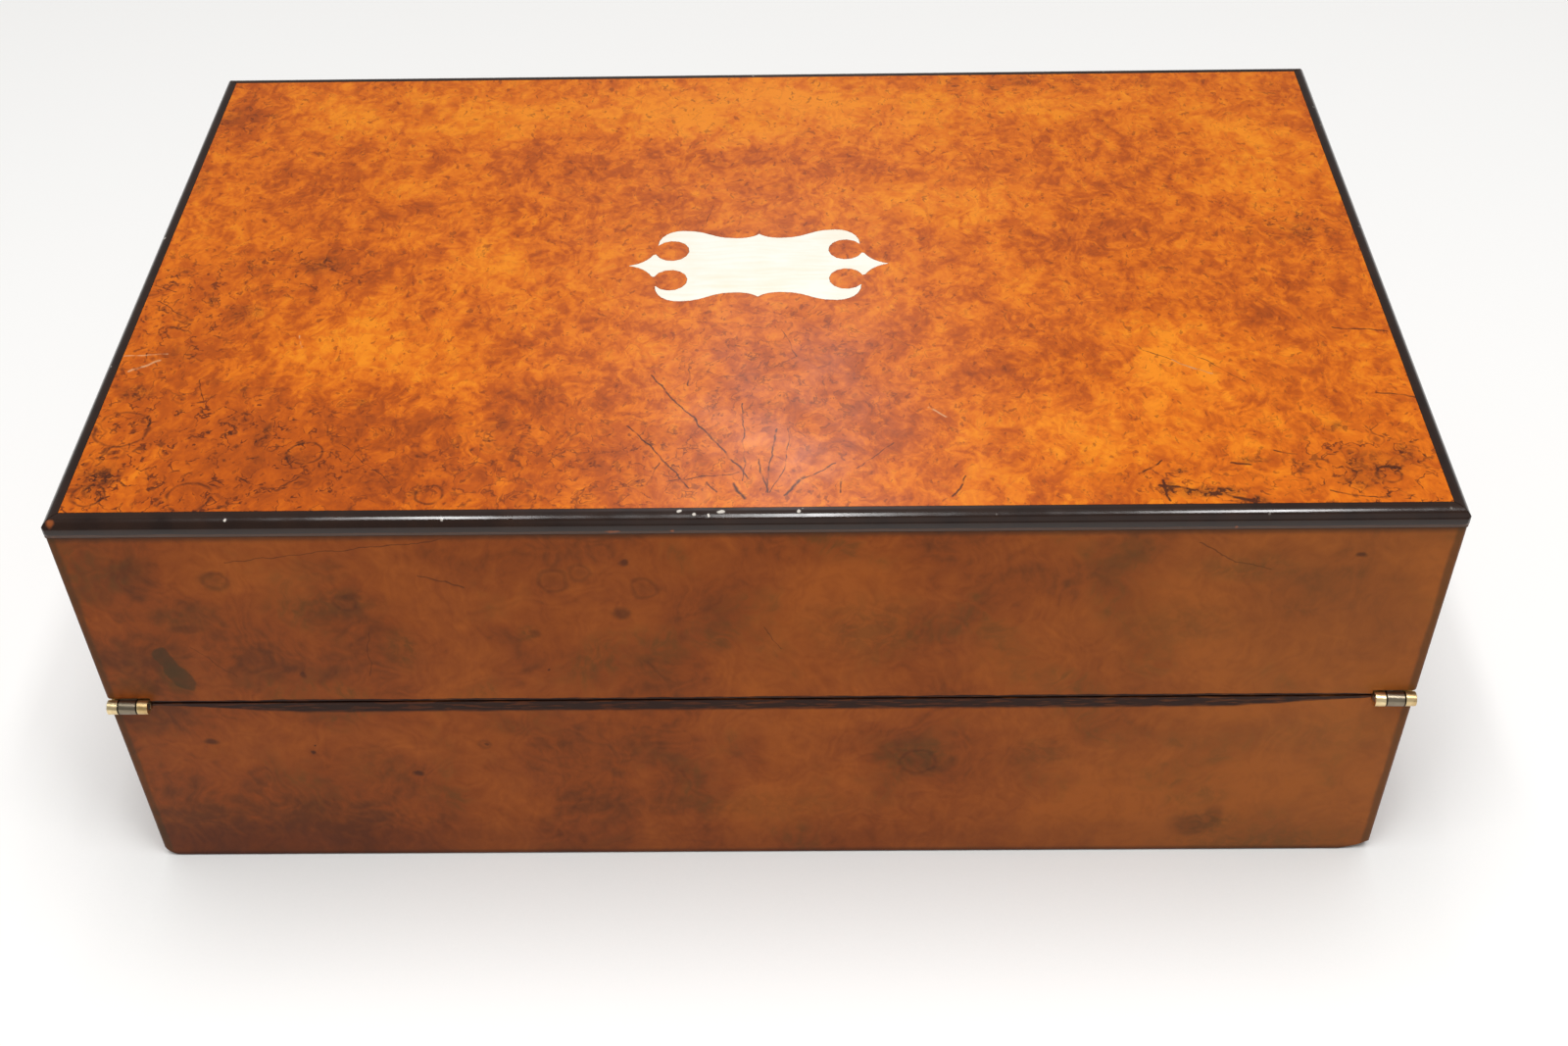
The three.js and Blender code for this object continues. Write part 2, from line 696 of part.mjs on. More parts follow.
function buildCompartments() {
  const dividerInside = dividerX - dividerThickness;
  const rebateX = dividerInside + trayRebate;
  const room = [trayRoomY + glueGap, innerY - glueGap];
  const partition = block(
    symmetric(innerX - glueGap),
    [trayRoomY - partitionThickness, trayRoomY],
    [floorTop, height],
  );
  addPiece(base, "compartment_partition", partition.intersect(underBase), materials.interior);

  for (const { name, sign } of sides) {
    const whole = block(mirroredSpan([dividerInside, dividerX], sign), room, [floorTop, height]);
    const rebate = block(
      mirroredSpan([dividerInside - overrun, rebateX], sign),
      [trayRoomY, innerY],
      [trayUnderside - glueGap, height],
    );
    const divider = whole.intersect(insideBase).subtract(rebate);
    addPiece(base, `${name}_inkwell_divider`, divider, materials.interior);
    const floor = block(mirroredSpan([dividerX + glueGap, innerX - glueGap], sign), room, [
      inkwellFloorTop - inkwellFloorThickness,
      inkwellFloorTop,
    ]);
    addPiece(base, `${name}_inkwell_floor`, floor, materials.interior);
  }

  const trayX = rebateX - seatGap;
  const trayRoom = [trayRoomY + seatGap, innerY - seatGap];
  const troughLength = 2 * (trayX - troughEndMargin - troughRadius);
  const trough = new THREE.CapsuleGeometry(troughRadius, troughLength, curveSegments, glassSegments)
    .rotateZ(Math.PI / 2)
    .translate(0, inkwellY, slopeHeight(inkwellY, -flapDrop) + troughAxisRise);
  const tray = block(symmetric(trayX), trayRoom, [trayUnderside, height]).intersect(insideBase);
  addPiece(base, "pen_tray", tray.subtract(toSolid(trough)), materials.interior);
}

// Inkwells: a cut glass block with a round well, a brass collar round its neck and a brass cap on it

function glassBlock() {
  const half = glassWidth / 2 - glassEdgeCut;
  const cut = half - glassCornerCut;
  const corners = [
    [half, -cut],
    [half, cut],
    [cut, half],
    [-cut, half],
    [-half, cut],
    [-half, -cut],
    [-cut, -half],
    [cut, -half],
  ];
  const geometry = new THREE.ExtrudeGeometry(
    new THREE.Shape(corners.map(([x, y]) => new THREE.Vector2(x, y))),
    {
      depth: glassHeight - 2 * glassEdgeCut,
      bevelSize: glassEdgeCut,
      bevelThickness: glassEdgeCut,
      bevelSegments: 1,
    },
  );
  return toSolid(geometry.translate(0, 0, glassEdgeCut));
}

// A body of revolution about +Z from its profile, a list of [radius, height]
function turned(profile) {
  const points = profile.map(([radius, rise]) => new THREE.Vector2(radius, rise));
  return toSolid(new THREE.LatheGeometry(points, glassSegments).rotateX(Math.PI / 2));
}

function buildInkwells() {
  const top = glassHeight + neckHeight;
  const neck = turned([
    [0, glassHeight - glassEdgeCut],
    [neckRadius, glassHeight - glassEdgeCut],
    [neckRadius, top],
    [0, top],
  ]);
  const well = turned([
    [0, wellFloor],
    [wellRadius / 2, wellFloor],
    [wellRadius, wellFloor + wellRadius / 2],
    [wellRadius, top + overrun],
    [0, top + overrun],
  ]);
  const collarFoot = glassHeight + glueGap;
  const collarInner = neckRadius + glueGap;
  const collarOuter = collarInner + collarThickness;
  const collar = turned([
    [collarInner, collarFoot],
    [collarOuter, collarFoot],
    [collarOuter, collarFoot + collarHeight],
    [collarInner, collarFoot + collarHeight],
    [collarInner, collarFoot],
  ]);
  const capFoot = top + glueGap;
  const cap = turned([
    [0, capFoot],
    [collarOuter - capEdge, capFoot],
    [collarOuter, capFoot + capEdge],
    [collarOuter, capFoot + capSide],
    [collarOuter - capEdge, capFoot + capSide + capEdge],
    [collarOuter / 2, capFoot + capHeight - capEdge],
    [0, capFoot + capHeight],
  ]);
  const glass = glassBlock().add(neck).subtract(well);
  for (const { name, sign } of sides) {
    const inkwell = new THREE.Group();
    inkwell.position.set(sign * inkwellX, inkwellY, inkwellFloorTop + glueGap);
    base.add(inkwell);
    addPiece(inkwell, `${name}_inkwell_glass`, glass, materials.glass);
    addPiece(inkwell, `${name}_inkwell_collar`, collar, materials.brass);
    addPiece(inkwell, `${name}_inkwell_cap`, cap, materials.brass);
  }
}

// Hinges, in the slope frame

// Knuckle spans along the barrel, measured from its middle: the lid has the middle one
const middleKnuckle = symmetric((middleKnuckleLength - knuckleGap) / 2);
const outerKnuckles = [
  [-leafWidth / 2, -(middleKnuckleLength + knuckleGap) / 2],
  [(middleKnuckleLength + knuckleGap) / 2, leafWidth / 2],
];

function hingeLeaf(face, ownKnuckles, otherKnuckles) {
  const rises = mirroredSpan([halfGap, halfGap + leafThickness], face);
  const plate = block(symmetric(leafWidth / 2), [0, leafLength], rises);
  const rooms = otherKnuckles.map(([low, high]) =>
    barAlongX(knuckleRadius + seatGap, [low - knuckleGap, high + knuckleGap]),
  );
  const knuckles = ownKnuckles.map((span) => barAlongX(knuckleRadius, span));
  const bore = barAlongX(boreRadius, symmetric(leafWidth));
  const screwHoles = leafScrewShares.map((share) => {
    const cone = new THREE.CylinderGeometry(
      leafScrewHeadRadius,
      leafScrewRadius,
      leafThickness + 2 * glueGap,
      holeSegments,
    );
    const turn = face < 0 ? Math.PI / 2 : -Math.PI / 2;
    return toSolid(cone.rotateX(turn).translate(0, share * leafLength, face * (halfGap + leafThickness / 2)));
  });
  return cutFrom(joined([cutFrom(plate, rooms), ...knuckles]), [bore, ...screwHoles]);
}

function buildHinges() {
  const baseLeaf = hingeLeaf(-1, outerKnuckles, [middleKnuckle]);
  const lidLeaf = hingeLeaf(1, [middleKnuckle], outerKnuckles);
  const pin = barAlongX(pinRadius, symmetric(leafWidth / 2), holeSegments);
  for (const { name, sign } of sides) {
    const x = sign * barrelX;
    addPiece(baseSlope, `${name}_hinge_base_leaf`, baseLeaf, materials.brass).position.x = x;
    addPiece(baseSlope, `${name}_hinge_pin`, pin, materials.steel).position.x = x;
    addPiece(lidSlope, `${name}_hinge_lid_leaf`, lidLeaf, materials.brass).position.x = x;
  }
}

// Lock: a plate with its selvedge in the lock wall, a case with the bolt behind it, and a link plate in the lid

const lockPlateY = [innerY + seatGap, innerY + seatGap + lockPlateThickness];
const lockCaseY = [lockPlateY[1] + glueGap, faceY - linerDepth - linerToCase];
const edgePlateDepth = wallThickness - plateMargin;
const lockCaseTop = slopeHeight(lockPlateY[1], -halfGap - lockPlateThickness) - lockCaseTopGap;
const lockCaseFloor = lockCaseTop - lockCaseHeight;
const selvedgeStart = alongSlope(lockPlateY[0], -halfGap);
const boltDepth = lockCaseY[1] - lockCaseY[0] - lockCaseSheet - 2 * seatGap;
const boltMiddleY = (lockCaseY[0] + lockCaseY[1] - lockCaseSheet) / 2;
const hookMiddle = alongSlope(boltMiddleY, -hookDepth * (2 / 3));
const hookReach = (hookSpacingShare * lockCaseWidth) / 2;
const hookMiddles = symmetric(hookReach);
const hookThickness = hookThicknessShare * (lockCaseY[1] - lockCaseY[0]);
const linkPlateStart = alongSlope(innerY, halfGap + linkPlateThickness) + seatGap;
const keyholeHeight = lockCaseTop - lockCaseHeight + keyholeSlotDrop + keyholeRadius;

function keyholeShape(grow) {
  const radius = keyholeRadius + grow;
  const half = keyholeSlotWidth / 2 + grow;
  const turn = Math.asin(half / radius);
  const shape = new THREE.Shape();
  shape.absarc(0, keyholeHeight, radius, -Math.PI / 2 + turn, (3 * Math.PI) / 2 - turn);
  shape.lineTo(-half, keyholeHeight - keyholeSlotDrop - grow);
  shape.lineTo(half, keyholeHeight - keyholeSlotDrop - grow);
  return shape;
}

function lockPockets() {
  const plate = block(
    symmetric(lockPlateWidth / 2 + seatGap),
    [innerY - overrun, lockPlateY[1] + glueGap],
    [lockCaseTop - lockPlateDrop - seatGap, height],
  );
  const caseRoom = block(
    symmetric(lockCaseWidth / 2 + seatGap),
    [lockPlateY[0], lockCaseY[1] + seatGap],
    [lockCaseFloor - seatGap, height],
  );
  const selvedge = fromSlope(
    block(
      symmetric(lockPlateWidth / 2 + seatGap),
      [selvedgeStart - overrun, selvedgeStart + edgePlateDepth + seatGap],
      [-halfGap - lockPlateThickness - seatGap, overrun],
    ),
  );
  const keyhole = prismAlongY(keyholeShape(linerWall + glueGap), [lockCaseY[0], faceY + overrun]);
  return joined([plate, caseRoom, selvedge, keyhole]);
}

function linkPlateRoom() {
  return fromSlope(
    block(
      symmetric(linkPlateWidth / 2 + seatGap),
      [linkPlateStart - overrun, linkPlateStart + edgePlateDepth + seatGap],
      [-overrun, halfGap + linkPlateThickness + seatGap],
    ),
  );
}

function buildLock() {
  const backPlate = block(
    symmetric(lockPlateWidth / 2),
    lockPlateY,
    [lockCaseTop - lockPlateDrop, slopeHeight(lockPlateY[0], -halfGap - lockPlateThickness / 2)],
  );
  const selvedge = block(
    symmetric(lockPlateWidth / 2),
    [selvedgeStart, selvedgeStart + edgePlateDepth],
    [-halfGap - lockPlateThickness, -halfGap],
  );
  const hookSlots = hookMiddles.map((x) =>
    block(
      [x - hookToe - hookClearance, x + hookShank + hookClearance],
      [hookMiddle - hookThickness / 2 - hookClearance, hookMiddle + hookThickness / 2 + hookClearance],
      [-hookDepth, overrun],
    ),
  );
  const slottedSelvedge = fromSlope(cutFrom(selvedge, hookSlots));
  addPiece(base, "lock_plate", backPlate.intersect(underBase).add(slottedSelvedge), materials.brass);

  const shell = block(symmetric(lockCaseWidth / 2), lockCaseY, [lockCaseFloor, lockCaseTop]);
  const hollow = block(
    symmetric(lockCaseWidth / 2 - lockCaseSheet),
    [lockCaseY[0] - overrun, lockCaseY[1] - lockCaseSheet],
    [lockCaseFloor + lockCaseSheet, lockCaseTop + overrun],
  );
  const keyhole = prismAlongY(keyholeShape(0), [lockCaseY[0], lockCaseY[1] + overrun]);
  addPiece(base, "lock_case", cutFrom(shell, [hollow, keyhole]), materials.steel);

  const linerSpan = [faceY - linerDepth, faceY];
  const liner = prismAlongY(keyholeShape(linerWall), linerSpan);
  const opening = prismAlongY(keyholeShape(0), [linerSpan[0] - overrun, linerSpan[1] + overrun]);
  addPiece(base, "keyhole_liner", liner.subtract(opening), materials.brass);

  addPiece(base, "lock_bolt", boltSolid(), materials.steel);
  addPiece(lidSlope, "lock_link_plate", linkPlateSolid(), materials.brass);
}

// The height of the top of the hooks' toes, where the bolt's fingers pass over them
const toeTop = slopeHeight(boltMiddleY, -hookDepth + hookToeHeight);

function boltSolid() {
  const y = symmetric(boltDepth / 2).map((offset) => boltMiddleY + offset);
  const fingerZ = [toeTop + hookClearance, toeTop + hookClearance + boltFingerHeight];
  const barTop = slopeHeight(boltMiddleY, -hookDepth) - boltBarDrop;
  const barZ = [barTop - boltBarHeight, barTop];
  const fingers = hookMiddles.map((x) => {
    const end = x - boltTravel - seatGap;
    const start = end - hookToe - fingerLap - boltPostWidth;
    const finger = block([start, end], y, fingerZ);
    return finger.add(block([start, start + boltPostWidth], y, [barZ[0], fingerZ[1]]));
  });
  const barStart = -hookReach - boltTravel - seatGap - hookToe - fingerLap - boltPostWidth;
  return joined([block([barStart, hookReach], y, barZ), ...fingers]);
}

function linkPlateSolid() {
  const plate = block(
    symmetric(linkPlateWidth / 2),
    [linkPlateStart, linkPlateStart + edgePlateDepth],
    [halfGap, halfGap + linkPlateThickness],
  );
  const thickness = [hookMiddle - hookThickness / 2, hookMiddle + hookThickness / 2];
  const hooks = hookMiddles.map((x) => {
    const shank = block([x, x + hookShank], thickness, [-hookDepth, halfGap + linkPlateThickness]);
    return shank.add(block([x - hookToe, x + hookShank], thickness, [-hookDepth, -hookDepth + hookToeHeight]));
  });
  return joined([plate, ...hooks]);
}

buildBaseCase();
buildLidCase();
buildTop();
buildMoulding();
buildFlap(-1, baseSlope, "upper_flap");
buildFlap(1, lidSlope, "lower_flap");
buildLedges(-1, baseSlope, "base");
buildLedges(1, lidSlope, "lid");
buildRail();
buildCatch();
buildCompartments();
buildInkwells();
buildHinges();
buildLock();

export default writingSlope;
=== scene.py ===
import json
import math
from functools import reduce

import bmesh
import bpy
from mathutils import Matrix, Vector, noise

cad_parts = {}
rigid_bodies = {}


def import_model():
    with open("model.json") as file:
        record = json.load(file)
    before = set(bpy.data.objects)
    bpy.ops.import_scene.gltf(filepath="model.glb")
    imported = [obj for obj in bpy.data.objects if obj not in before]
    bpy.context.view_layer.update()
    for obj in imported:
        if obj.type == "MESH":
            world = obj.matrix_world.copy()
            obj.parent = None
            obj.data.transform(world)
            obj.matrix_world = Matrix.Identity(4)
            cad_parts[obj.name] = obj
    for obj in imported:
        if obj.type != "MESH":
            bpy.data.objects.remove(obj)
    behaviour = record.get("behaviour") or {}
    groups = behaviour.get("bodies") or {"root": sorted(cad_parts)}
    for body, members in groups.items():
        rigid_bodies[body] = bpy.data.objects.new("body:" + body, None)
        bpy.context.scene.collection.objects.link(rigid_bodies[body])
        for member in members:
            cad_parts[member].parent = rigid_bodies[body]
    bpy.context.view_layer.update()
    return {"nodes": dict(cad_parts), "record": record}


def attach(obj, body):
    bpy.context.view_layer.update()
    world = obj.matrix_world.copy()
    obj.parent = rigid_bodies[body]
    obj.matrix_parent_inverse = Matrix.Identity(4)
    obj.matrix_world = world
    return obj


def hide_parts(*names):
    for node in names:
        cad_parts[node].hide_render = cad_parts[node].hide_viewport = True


for leftover in list(bpy.data.objects):
    bpy.data.objects.remove(leftover)

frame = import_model()
NODES = frame["nodes"]
MM = 0.001

# Places that the CAD source sets, in millimetres
FACE_X = 177.5
FACE_Y = 108
TOP_Z = 135
AXIS_Y = -109.2
AXIS_Z = 67.5
SLOPE_SINE = 0.170135
SLOPE_COSINE = 0.985421
HALF_GAP = 0.4
BARREL_X = 171.5
LEAF_LENGTH = 46
LEAF_SCREW_SHARES = (0.28, 0.58, 0.88)


def from_slope(x, s, n):
    """A point of the slope frame (along the hinge, up the slope, square to it) in the box frame, in m."""
    y = AXIS_Y + s * SLOPE_COSINE - n * SLOPE_SINE
    z = AXIS_Z + s * SLOPE_SINE + n * SLOPE_COSINE
    return Vector((x, y, z)) * MM


def srgb(red, green, blue):
    """A colour from its 0 to 255 sRGB values as linear RGBA."""
    def linear(value):
        share = value / 255
        return share / 12.92 if share <= 0.04045 else ((share + 0.055) / 1.055) ** 2.4
    return (linear(red), linear(green), linear(blue), 1)


def shown(name, data):
    """A new object of the data, in the scene."""
    item = bpy.data.objects.new(name, data)
    bpy.context.scene.collection.objects.link(item)
    return item


class Finish:
    """One material, and short calls that add nodes to it. Sizes in its pattern are in millimetres."""

    def __init__(self, name):
        self.material = bpy.data.materials.new(name)
        self.material.use_nodes = True
        self.tree = self.material.node_tree
        self.shader = self.tree.nodes["Principled BSDF"]
        coordinates = self.add("ShaderNodeTexCoord").outputs["Object"]
        self.place = self.vector("SCALE", coordinates, scale=1 / MM)
        axes = self.filled("ShaderNodeSeparateXYZ", {0: self.place})
        self.x, self.y, self.z = axes.outputs

    def add(self, kind, **settings):
        node = self.tree.nodes.new(kind)
        for name, value in settings.items():
            setattr(node, name, value)
        return node

    def filled(self, kind, inputs, **settings):
        """A new node with a value or a link in each of the inputs, by name or number."""
        node = self.add(kind, **settings)
        for name, value in inputs.items():
            self.put(node.inputs[name], value)
        return node

    def put(self, socket, value):
        if isinstance(value, bpy.types.NodeSocket):
            self.tree.links.new(value, socket)
        else:
            socket.default_value = value

    def math(self, operation, first, second=0.0, third=0.0, clamp=False):
        node = self.add("ShaderNodeMath", operation=operation, use_clamp=clamp)
        for socket, value in zip(node.inputs, (first, second, third)):
            self.put(socket, value)
        return node.outputs[0]

    def vector(self, operation, first, second=(0.0, 0.0, 0.0), scale=1.0):
        node = self.add("ShaderNodeVectorMath", operation=operation)
        self.put(node.inputs[0], first)
        self.put(node.inputs[1], second)
        if operation == "SCALE":
            self.put(node.inputs[3], scale)
        return node.outputs[1 if operation in ("LENGTH", "DOT_PRODUCT", "DISTANCE") else 0]

    def noise(self, at, size, detail=3.0, roughness=0.5):
        """Noise about one half, with features of the given size."""
        inputs = {"Vector": at, "Scale": 1 / size, "Detail": detail, "Roughness": roughness}
        return self.filled("ShaderNodeTexNoise", inputs).outputs["Fac"]

    def warped(self, at, size, reach, detail=2.0):
        """The place moved by up to about half the reach, smoothly over the given size."""
        node = self.filled("ShaderNodeTexNoise", {"Vector": at, "Scale": 1 / size, "Detail": detail})
        offset = self.vector("SUBTRACT", node.outputs["Color"], (0.5, 0.5, 0.5))
        return self.vector("ADD", at, self.vector("SCALE", offset, scale=reach))

    def cells(self, at, size, feature="F1", dimensions="3D"):
        """The distance to the nearest cell's middle or edge as a share of the size, and its own colour."""
        settings = {"feature": feature, "voronoi_dimensions": dimensions}
        node = self.filled("ShaderNodeTexVoronoi", {"Vector": at, "Scale": 1 / size}, **settings)
        return node.outputs["Distance"], node.outputs.get("Color")

    def stretched(self, at, factors):
        return self.vector("MULTIPLY", at, factors)

    def smooth(self, value, low, high):
        """Rises smoothly from 0 to 1 from low to high, or falls to 0 where low is the larger."""
        inputs = {
            "Value": value, "From Min": min(low, high), "From Max": max(low, high),
            "To Min": 0.0 if low < high else 1.0, "To Max": 1.0 if low < high else 0.0,
        }
        return self.filled("ShaderNodeMapRange", inputs, interpolation_type="SMOOTHSTEP").outputs["Result"]

    def band(self, value, middle, outer, inner=0.0):
        """1 where the value is within inner of the middle, falling to 0 at outer."""
        return self.smooth(self.math("ABSOLUTE", self.minus(value, middle)), outer, inner)

    def some_cells(self, tint, low, high):
        """Picks the cells whose own red is over high and leaves those under low."""
        red = self.filled("ShaderNodeSeparateColor", {0: tint}).outputs[0]
        return self.smooth(red, low, high)

    def ramp(self, value, stops):
        """A colour from the list of (position, colour)."""
        node = self.add("ShaderNodeValToRGB")
        elements = node.color_ramp.elements
        for element, (position, colour) in zip(elements, (stops[0], stops[-1])):
            element.position = position
            element.color = colour
        for position, colour in stops[1:-1]:
            elements.new(position).color = colour
        self.put(node.inputs[0], value)
        return node.outputs[0]

    def mix(self, share, first, second):
        inputs = {0: share, 6: first, 7: second}
        return self.filled("ShaderNodeMix", inputs, data_type="RGBA").outputs[2]

    def times_plus(self, value, factor, offset):
        return self.math("MULTIPLY_ADD", value, factor, offset)

    def joined(self, operation, values):
        return reduce(lambda result, value: self.math(operation, result, value), values)

    def times(self, *values):
        return self.joined("MULTIPLY", values)

    def sum(self, *values):
        return self.joined("ADD", values)

    def most(self, *values):
        return self.joined("MAXIMUM", values)

    def minus(self, first, second):
        return self.math("SUBTRACT", first, second)

    def flat(self, *coordinates):
        """A place from its coordinates along a face."""
        node = self.add("ShaderNodeCombineXYZ")
        for socket, value in zip(node.inputs, coordinates):
            self.put(socket, value)
        return node.outputs[0]

    def from_mark(self, at, middle, after, radii=(1.0, 1.0)):
        """The offset from a mark's middle, in radii. It waits for the value after, to hold few at once."""
        offset = self.vector("SUBTRACT", at, self.flat(*middle, after))
        return self.vector("MULTIPLY", offset, (1 / radii[0], 1 / radii[1], 0.0))

    def spot(self, at, middle, radii, after, core=0.0):
        """1 at the middle, falling to 0 at the radii. The core is the share of them that stays 1."""
        away = self.vector("LENGTH", self.from_mark(at, middle, after, radii))
        return self.smooth(away, 1.0, core)

    def ring(self, at, middle, radius, width, after):
        away = self.vector("LENGTH", self.from_mark(at, middle, after))
        return self.band(away, radius, width)

    def stroke(self, at, start, end, width, after):
        """A line from start to end that is 1 along its middle and fades to 0 half the width away."""
        along = [b - a for a, b in zip(start, end)] + [0.0]
        squared = sum(value * value for value in along)
        offset = self.from_mark(at, start, after)
        share = self.vector("DOT_PRODUCT", offset, [value / squared for value in along])
        clamped = self.math("ADD", share, 0.0, clamp=True)
        foot = self.vector("SCALE", along, scale=clamped)
        return self.smooth(self.vector("DISTANCE", offset, foot), width / 2, 0.0)

    def spots(self, at, marks, core, earlier=0.0):
        """At each place the strongest of the spots (middle, radii, strength) and of the earlier value."""
        for x, y, reach_x, reach_y, strength in marks:
            spot = self.spot(at, (x, y), (reach_x, reach_y), earlier, core)
            earlier = self.most(earlier, self.times(spot, strength))
        return earlier

    def strokes(self, at, marks, strength=1.0, earlier=0.0):
        """At each place the strongest of the lines (start, end, width) and of the earlier value."""
        for x, y, end_x, end_y, width in marks:
            stroke = self.stroke(at, (x, y), (end_x, end_y), width, earlier)
            earlier = self.most(earlier, self.times(stroke, strength))
        return earlier

    def setting(self, name, value):
        self.put(self.shader.inputs[name], value)

    def colour(self, value):
        self.setting("Base Color", value)

    def roughness(self, value):
        self.setting("Roughness", value)

    def bump(self, height, depth, strength=0.5):
        """Relief of the given depth in millimetres where the height goes from 0 to 1."""
        inputs = {"Height": height, "Distance": depth * MM, "Strength": strength}
        node = self.filled("ShaderNodeBump", inputs)
        earlier = self.shader.inputs["Normal"]
        if earlier.is_linked:
            self.put(node.inputs["Normal"], earlier.links[0].from_socket)
        self.put(earlier, node.outputs[0])


# Burr veneer of the top

AMBER = srgb(242, 140, 22)
ORANGE = srgb(222, 112, 12)
RUSSET = srgb(190, 86, 8)
BROWN = srgb(154, 66, 10)
CURL = srgb(104, 42, 12)
CRACK = srgb(62, 27, 14)

# Lighter and darker clouds of the top: middle, radii and how much lighter (over 0) or darker each one is
TOP_CLOUDS = (
    (-152, 14, 40, 24, 0.04), (-82, 84, 34, 22, 0.18), (-80, -2, 20, 18, 0.12), (-130, 84, 44, 28, 0.1),
    (0, 84, 100, 30, 0.2), (52, 30, 34, 18, 0.14), (100, 84, 60, 18, 0.1), (150, 60, 28, 40, 0.12),
    (112, -52, 24, 30, 0.14), (-165, -80, 24, 34, 0.04), (78, -84, 44, 22, 0.07), (150, -96, 50, 16, 0.06),
    (-110, -38, 40, 14, 0.12), (-60, 52, 44, 26, -0.05), (-5, 56, 48, 26, -0.05), (18, -48, 40, 34, -0.13),
    (-120, 0, 26, 22, -0.11), (-55, -62, 30, 16, -0.11), (-122, -86, 70, 44, -0.24),
    (-40, -85, 60, 30, -0.09), (-136, 34, 36, 50, -0.06), (-160, -45, 30, 30, -0.08),
    (105, 8, 36, 20, -0.08), (-168, 80, 16, 22, -0.16), (30, -75, 38, 18, -0.08), (64, -48, 30, 22, -0.08),
    (150, -20, 34, 26, -0.08), (-30, 16, 34, 20, -0.06), (120, 60, 40, 30, -0.04),
    (-150, -16, 50, 44, -0.05), (150, -92, 26, 12, -0.08),
)

# Where the burr is full of small eyes and curled brown lines: middle, radii and how full
TOP_FIGURE = (
    (-150, -88, 70, 42, 1.0), (-164, -24, 26, 42, 0.8), (158, -92, 32, 24, 0.9), (-130, 0, 28, 16, 0.7),
    (112, -98, 34, 12, 0.6), (156, 16, 18, 14, 0.6), (-168, 82, 16, 18, 0.6), (84, 100, 34, 10, 0.5),
    (-50, -88, 60, 26, 0.6), (10, -50, 44, 36, 0.4),
)

# Dark knots of the top: middle, radii and depth
TOP_KNOTS = (
    (-170, 83, 6, 8, 0.5), (-126, 1, 10, 6, 0.7), (-144, -22, 8, 6, 0.6), (-128, -76, 3, 8, 0.8),
    (-118, -84, 6, 4, 0.7), (158, 13, 7, 7, 0.6), (157, -90, 12, 8, 0.7), (-168, -92, 6, 9, 0.9),
    (-160, -40, 8, 8, 0.4), (114, -100, 13, 2.6, 1.5), (108, -92, 2.4, 2, 1.2), (84, 100, 8, 5, 0.5),
    (-166, -57, 7, 5, 0.9), (-166, -91, 6, 7, 1.1), (-127.5, -74, 2.5, 6, 0.9), (-138, -57, 4, 3, 0.7),
    (-128, -85, 3, 1.8, 1.0), (-134, -79.5, 1.6, 1.4, 0.8), (-85.5, -84, 2.4, 1.6, 0.8),
    (-63, -80.5, 4, 3, 0.5), (-80, -68, 1.6, 1.6, 0.7), (-50, -84.5, 3, 1, 0.6), (104, -99, 3, 4, 1.2),
    (124, -103, 6, 2, 1.3), (152, -96, 8, 4, 0.9), (166, -86, 5, 6, 0.8), (124, 98, 6, 4, 0.4),
    (8, 106, 4, 2, 1.0), (-58, -58, 10, 4, 0.3), (-66, -72, 6, 5, 0.5), (126, -88, 6, 1.6, 1.0),
    (-104, -62, 3, 2.4, 1.0), (-172, 45, 3, 9, 0.5), (150, -75, 5, 3, 0.6),
)

# Rings of the top: middle and radius
TOP_RINGS = (
    (-81.5, -98.5, 3.4), (-142, -99, 5.5), (-116, -82.5, 4.4), (-166, -72, 7), (-168, -98, 4),
    (160, -94, 3),
)

# Open cracks and scratches of the top: start, end and width
TOP_STROKES = (
    (-28, -52, -0.5, -94, 0.9), (-33, -72, -16, -97, 0.8), (-3, -64, -2.5, -94, 0.6),
    (1, -86, 3.5, -99, 0.9), (6, -74, 3, -99, 0.7), (9, -74, 8, -90, 0.5), (8, -90, 4, -99, 0.5),
    (-5, -95, -2, -101, 1.3), (13, -93, 8, -100, 1.2), (21, -88, 11, -95, 0.7), (22, -94, 22, -99, 0.9),
    (-22, -94, -4, -91, 0.6), (-27, -96, -24, -87, 0.5), (54, -93, 50, -101, 0.9), (-12, -95, -9, -99, 0.8),
    (97, -93, 104, -88, 0.8), (102, -97, 112, -99.5, 1.5), (111, -99.5, 128, -104, 1.8),
    (103, -95, 103.5, -103, 1.1), (121, -89, 126, -90, 1.2), (133, -84, 138, -86, 0.9),
    (144, -100, 158, -103, 0.8), (-107, -79, -92, -94, 0.4), (130, -56, 118, -44, 0.6),
    (7, -32, 11, -44, 0.5), (-18, -48, -18, -56, 0.6), (36, -80, 26, -90, 0.5), (158, -33, 173, -35, 0.8),
    (164, -62, 176, -64, 0.9), (104, -42, 122, -53, 0.5), (-14, 30, -16, 20, 0.4),
    (-170, -16, -160, -24, 0.5), (-174, -8, -166, -12, 0.5), (-150, -52, -146, -66, 0.5),
)

# Bright flames of the top: start, end and width
TOP_FLAMES = (
    (-93, -62, -90, -44, 4), (-163, -98, -153, -80, 5), (-80, -76, -64, -94, 5), (-122, -30, -96, -24, 8),
    (-108, -66, -98, -54, 4), (-140, -64, -134, -74, 4), (104, -58, 116, -34, 7), (128, -70, 120, -52, 5),
    (-72, 8, -64, 26, 6), (60, 14, 66, 32, 6),
)

# Pale scratches of the top: start, end and width
TOP_SCRATCHES = (
    (-174, -41, -162, -40.5, 0.8), (-170, -47.5, -163, -43.5, 1.3), (-127, -33, -125, -38, 0.6),
    (112, -47, 122, -53, 0.6), (46, -66, 50, -70, 0.9),
)


